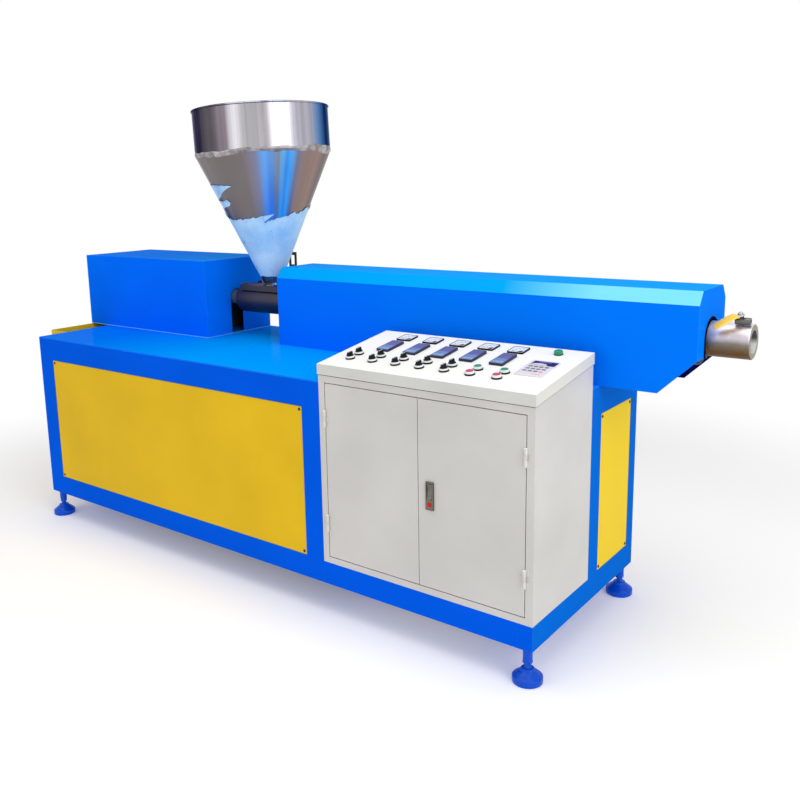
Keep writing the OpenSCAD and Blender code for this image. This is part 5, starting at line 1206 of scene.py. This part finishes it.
slope = math.degrees(math.atan2(RIM_RADIUS - OUTLET_RADIUS, CONE_HEIGHT))
print("cone:", round(slope, 1), "degrees")

# %% [markdown]
# The hem is a ring of sheet hammered over the seam. Its cross section is a low arch, and
# both its edges wander up and down round the hopper.

# %% Hem of the hopper
HEM_LOW, HEM_HIGH = 540, 564
turn_steps = np.linspace(-180, 180, 361)[:-1]
across = np.linspace(0, 1, 13)[:, None]
upper = HEM_HIGH + waves(turn_steps, (4, 2, 60), (2.5, 5, 10), (2, 11, 70), (1.2, 23, 0))
lower = HEM_LOW + waves(turn_steps, (4, 3, 200), (3, 7, 120), (2, 13, 30))
dent = waves(turn_steps, (0.25, 17, 0), (0.2, 29, 50), (0.15, 41, 20))
height = lower + (upper - lower) * across
hem = round_hopper(turn_steps, height, 0.3 + (1.1 + dent) * np.sin(math.pi * across) ** 0.6)
hem_inner = round_hopper(turn_steps, height[::-1], -0.8)
hem_rings = np.concatenate([hem, hem_inner, hem[:1]])
make("hopper_hem", [on_hopper(loft(hem_rings, False, False))], hem_steel)
print("hem:", HEM_HIGH - HEM_LOW, "mm high")

# %% [markdown]
# The two long seams, one down the cone and one up the rim at the back, are low weld beads:
# a thin round bar, mostly sunk in the sheet, whose radius ripples.

# %% Weld beads
bead_forms = []
for start, end, low, high, points in ((-30, -38, 40, 528, 160), (150, 150, 566, 730, 60)):
    heights = np.linspace(low, high, points)
    line = round_hopper(np.linspace(start, end, points), heights, -0.2)
    bead_forms.append(on_hopper(swept(line, 1.1 + 0.25 * np.sin(heights / 1.6), 8)))
make("hopper_beads", bead_forms, hem_steel)
print("weld beads:", len(bead_forms))

# %% [markdown]
# The film's upper edge is a tear: heights at angles read off the hopper, joined by
# straight lines, with small ragged waves on top. The film wrinkles a little off the steel
# and curls up at the tear.

# %% Protective film
TEAR = np.array([
    (-180, 352), (-165, 336), (-150, 372), (-140, 318), (-128, 300), (-118, 292), (-103, 282),
    (-92, 285), (-80, 284), (-70, 288), (-62, 288), (-56, 292), (-52.5, 293), (-51.8, 267),
    (-44, 272), (-36.8, 278), (-29, 282), (-24, 285), (-17, 288), (-11, 297), (-5, 303),
    (-1, 296), (2, 293), (5, 303), (10, 306), (14, 307), (17, 318), (24, 320), (34, 310),
    (50, 331), (66, 322), (84, 345), (100, 322), (118, 360), (140, 330), (160, 344),
    (180, 352)], float)


def patch(low, high, degrees, thick=0.35, rows=26, round_trip=False):
    """Film between two edges: rows of points from the low edge to the high one. A patch is
    closed row by row, out along its outer face and back along its inner one. Film that
    goes right round the cone is closed as a sleeve: up outside and down inside."""
    t = np.linspace(0, 1, rows)[:, None]
    height = low + (high - low) * t
    curl = 3.0 * np.clip((t - 0.94) / 0.06, 0, 1) ** 2
    wrinkle = 0.35 * (1 + waves(degrees, (0.5, 9, 0), (0.5, 23, 90)) * np.sin(height / 17))
    outer = round_hopper(degrees, height, 0.5 + thick + wrinkle + curl)
    inner = round_hopper(degrees, height, 0.15 + wrinkle * 0.3 + curl)
    if round_trip:
        return loft(np.concatenate([outer, inner[::-1], outer[:1]]), False, False)
    return loft(np.concatenate([outer, inner[:, ::-1]], axis=1))


film_turn = np.linspace(-180, 180, 721)[:-1]
ragged = waves(film_turn, (1.3, 31, 0), (1.0, 53, 40), (0.8, 97, 10))
tear = np.interp(film_turn, *TEAR.T) + ragged
film_low = 36 + waves(film_turn, (2, 3, 0), (1.5, 7, 50))
film_forms = [patch(film_low, tear, film_turn, round_trip=True)]
# A tongue of film stands out over a notch in the tear
tongue = np.linspace(-53, -36.8, 30)
tongue_low = np.interp(tongue, [-53, -36.8], [266, 297.6])
tongue_high = np.interp(tongue, [-53, -50.6, -36.8], [292, 295, 298.4])
film_forms.append(patch(tongue_low, tongue_high, tongue, rows=8))
# Two scraps are left higher up, at the left: angles and heights of their two edges
for turns, rows, teeth, high_edge, low_edge in (
        (np.linspace(-128, -83, 60), 10, 40,
         [(-128, 436), (-121, 433), (-100, 427), (-83, 421)],
         [(-128, 372), (-112, 380), (-102, 398), (-92, 411), (-84, 419), (-83, 420.5)]),
        (np.linspace(-130, -96, 46), 8, 50,
         [(-130, 372), (-110, 362), (-99, 368), (-96, 358)],
         [(-130, 330), (-112, 338), (-100, 342), (-96, 352)])):
    high, low = [np.interp(turns, *np.transpose(edge)) for edge in (high_edge, low_edge)]
    film_forms.append(patch(low, high + waves(turns, (1, teeth, 0)), turns, rows=rows))
make("hopper_film", [on_hopper(form) for form in film_forms], film_blue)
print("film:", len(film_forms), "pieces")

# %% [markdown]
# ## Studio
#
# The camera stands where the photographer stood: its place and turn were worked out from
# the machine's straight edges. The picture's centre lies off the lens's axis, so the lens is
# shifted by the difference.

# %% Camera
FOCAL_PIXELS, FRAME_PIXELS = 869.468, 800
CENTRE_X, CENTRE_Y = 374.737, 350.100
camera_place = on_base(3597.4, -2152.7, 1387.0)
yaw, pitch, roll = np.radians([37.7476, -10.8816, -1.2175])
ahead = np.array([
    -math.sin(yaw) * math.cos(pitch), math.cos(yaw) * math.cos(pitch), math.sin(pitch)])
right = np.array([math.cos(yaw), math.sin(yaw), 0.0])
up = np.cross(right, ahead)
image_right = math.cos(roll) * right + math.sin(roll) * up
image_up = math.cos(roll) * up - math.sin(roll) * right
camera_data = bpy.data.cameras.new("camera")
camera = linked("camera", camera_data)
pose = np.eye(4)
pose[:3] = np.column_stack([image_right, image_up, -ahead, camera_place])
camera.matrix_world = Matrix(pose.tolist())
camera_data.sensor_width = 36
camera_data.lens = FOCAL_PIXELS * camera_data.sensor_width / FRAME_PIXELS
camera_data.shift_x = (FRAME_PIXELS / 2 - CENTRE_X) / FRAME_PIXELS
camera_data.shift_y = (CENTRE_Y - FRAME_PIXELS / 2) / FRAME_PIXELS
camera_data.clip_end = 100
bpy.context.scene.camera = camera
print("lens:", round(camera_data.lens, 1), "mm")

# %% [markdown]
# Large lamps make soft shadows. The strongest stands off the machine's right end, one hangs
# over it, and the weakest fills its front.

# %% Lamps


def lamp(name, place, target, size, power):
    """Rectangular lamp that looks from its place at the target, in metres and watts."""
    data = bpy.data.lights.new(name, "AREA")
    data.shape, data.size, data.size_y, data.energy = "RECTANGLE", *size, power
    made = linked(name, data)
    made.location = place
    look = Vector(target) - Vector(place)
    made.rotation_euler = look.to_track_quat("-Z", "Y").to_euler()


lamp("top_lamp", (0.3, -0.6, 4.2), (0.2, 0, 0.8), (5.0, 3.0), 69)
lamp("right_lamp", (5.0, -1.5, 2.6), (0.8, 0, 0.8), (4.6, 4.0), 112)
lamp("front_lamp", (-1.5, -5.0, 2.4), (0, 0, 0.8), (4.5, 3.4), 45)
print("lamps:", len(bpy.data.lights))

# %% [markdown]
# The room is white to the eye and in what the steel mirrors, and dimmer as a light. The floor
# fades into the white round it, and only the shadow on it shows that it is there.

# %% Room and floor
ROOM_LIGHT, FLOOR_LIFT, FADE_START, FADE_END, HALF_FLOOR = 0.46, 0.16, 1.9, 3.4, 20.0
world = bpy.data.worlds.new("pale_room")
bpy.context.scene.world = world
world.use_nodes = True
world.node_tree.nodes.clear()
w = Wires(world.node_tree)
rays = w.node("LightPath").outputs
shown = w.math("MAXIMUM", rays["Is Camera Ray"], rays["Is Glossy Ray"])
shown = w.math("MAXIMUM", shown, rays["Is Transmission Ray"])
lit = w.node("Background", Color=(0.98, 0.98, 0.98, 1), Strength=ROOM_LIGHT)
seen = w.node("Background", Color=WHITE, Strength=1.0)
w.node("OutputWorld", Surface=w.blend(shown, lit.outputs[0], seen.outputs[0]))

floor_mesh = bpy.data.meshes.new("floor")
corners = HALF_FLOOR * np.array([(-1, -1, 0), (1, -1, 0), (1, 1, 0), (-1, 1, 0)])
floor_mesh.from_pydata(corners.tolist(), [], [(0, 1, 2, 3)])
floor = linked("floor", floor_mesh)
f = Finish("pale_floor")
f.set(Base_Color=(250, 250, 250), Roughness=0.9, Specular_IOR_Level=0.0)
fade = f.spread(f.vector("LENGTH", f.place), FADE_START, FADE_END, way="SMOOTHSTEP")
rays = f.node("LightPath").outputs
sight = f.math("MAXIMUM", rays["Is Camera Ray"], rays["Is Glossy Ray"])
lift = f.node("Emission", Color=WHITE, Strength=FLOOR_LIFT).outputs[0]
glow = f.node("Emission", Color=WHITE, Strength=1.0).outputs[0]
lifted = f.node("AddShader", f.shader.outputs[0], lift).outputs[0]
surface = f.blend(f.math("MULTIPLY", fade, sight), lifted, glow)
f.feed(f.tree.nodes["Material Output"].inputs["Surface"], surface)
floor_mesh.materials.append(f.material)
print("floor:", 2 * HALF_FLOOR, "m wide")

# %% View transform
bpy.context.scene.view_settings.view_transform = "Standard"
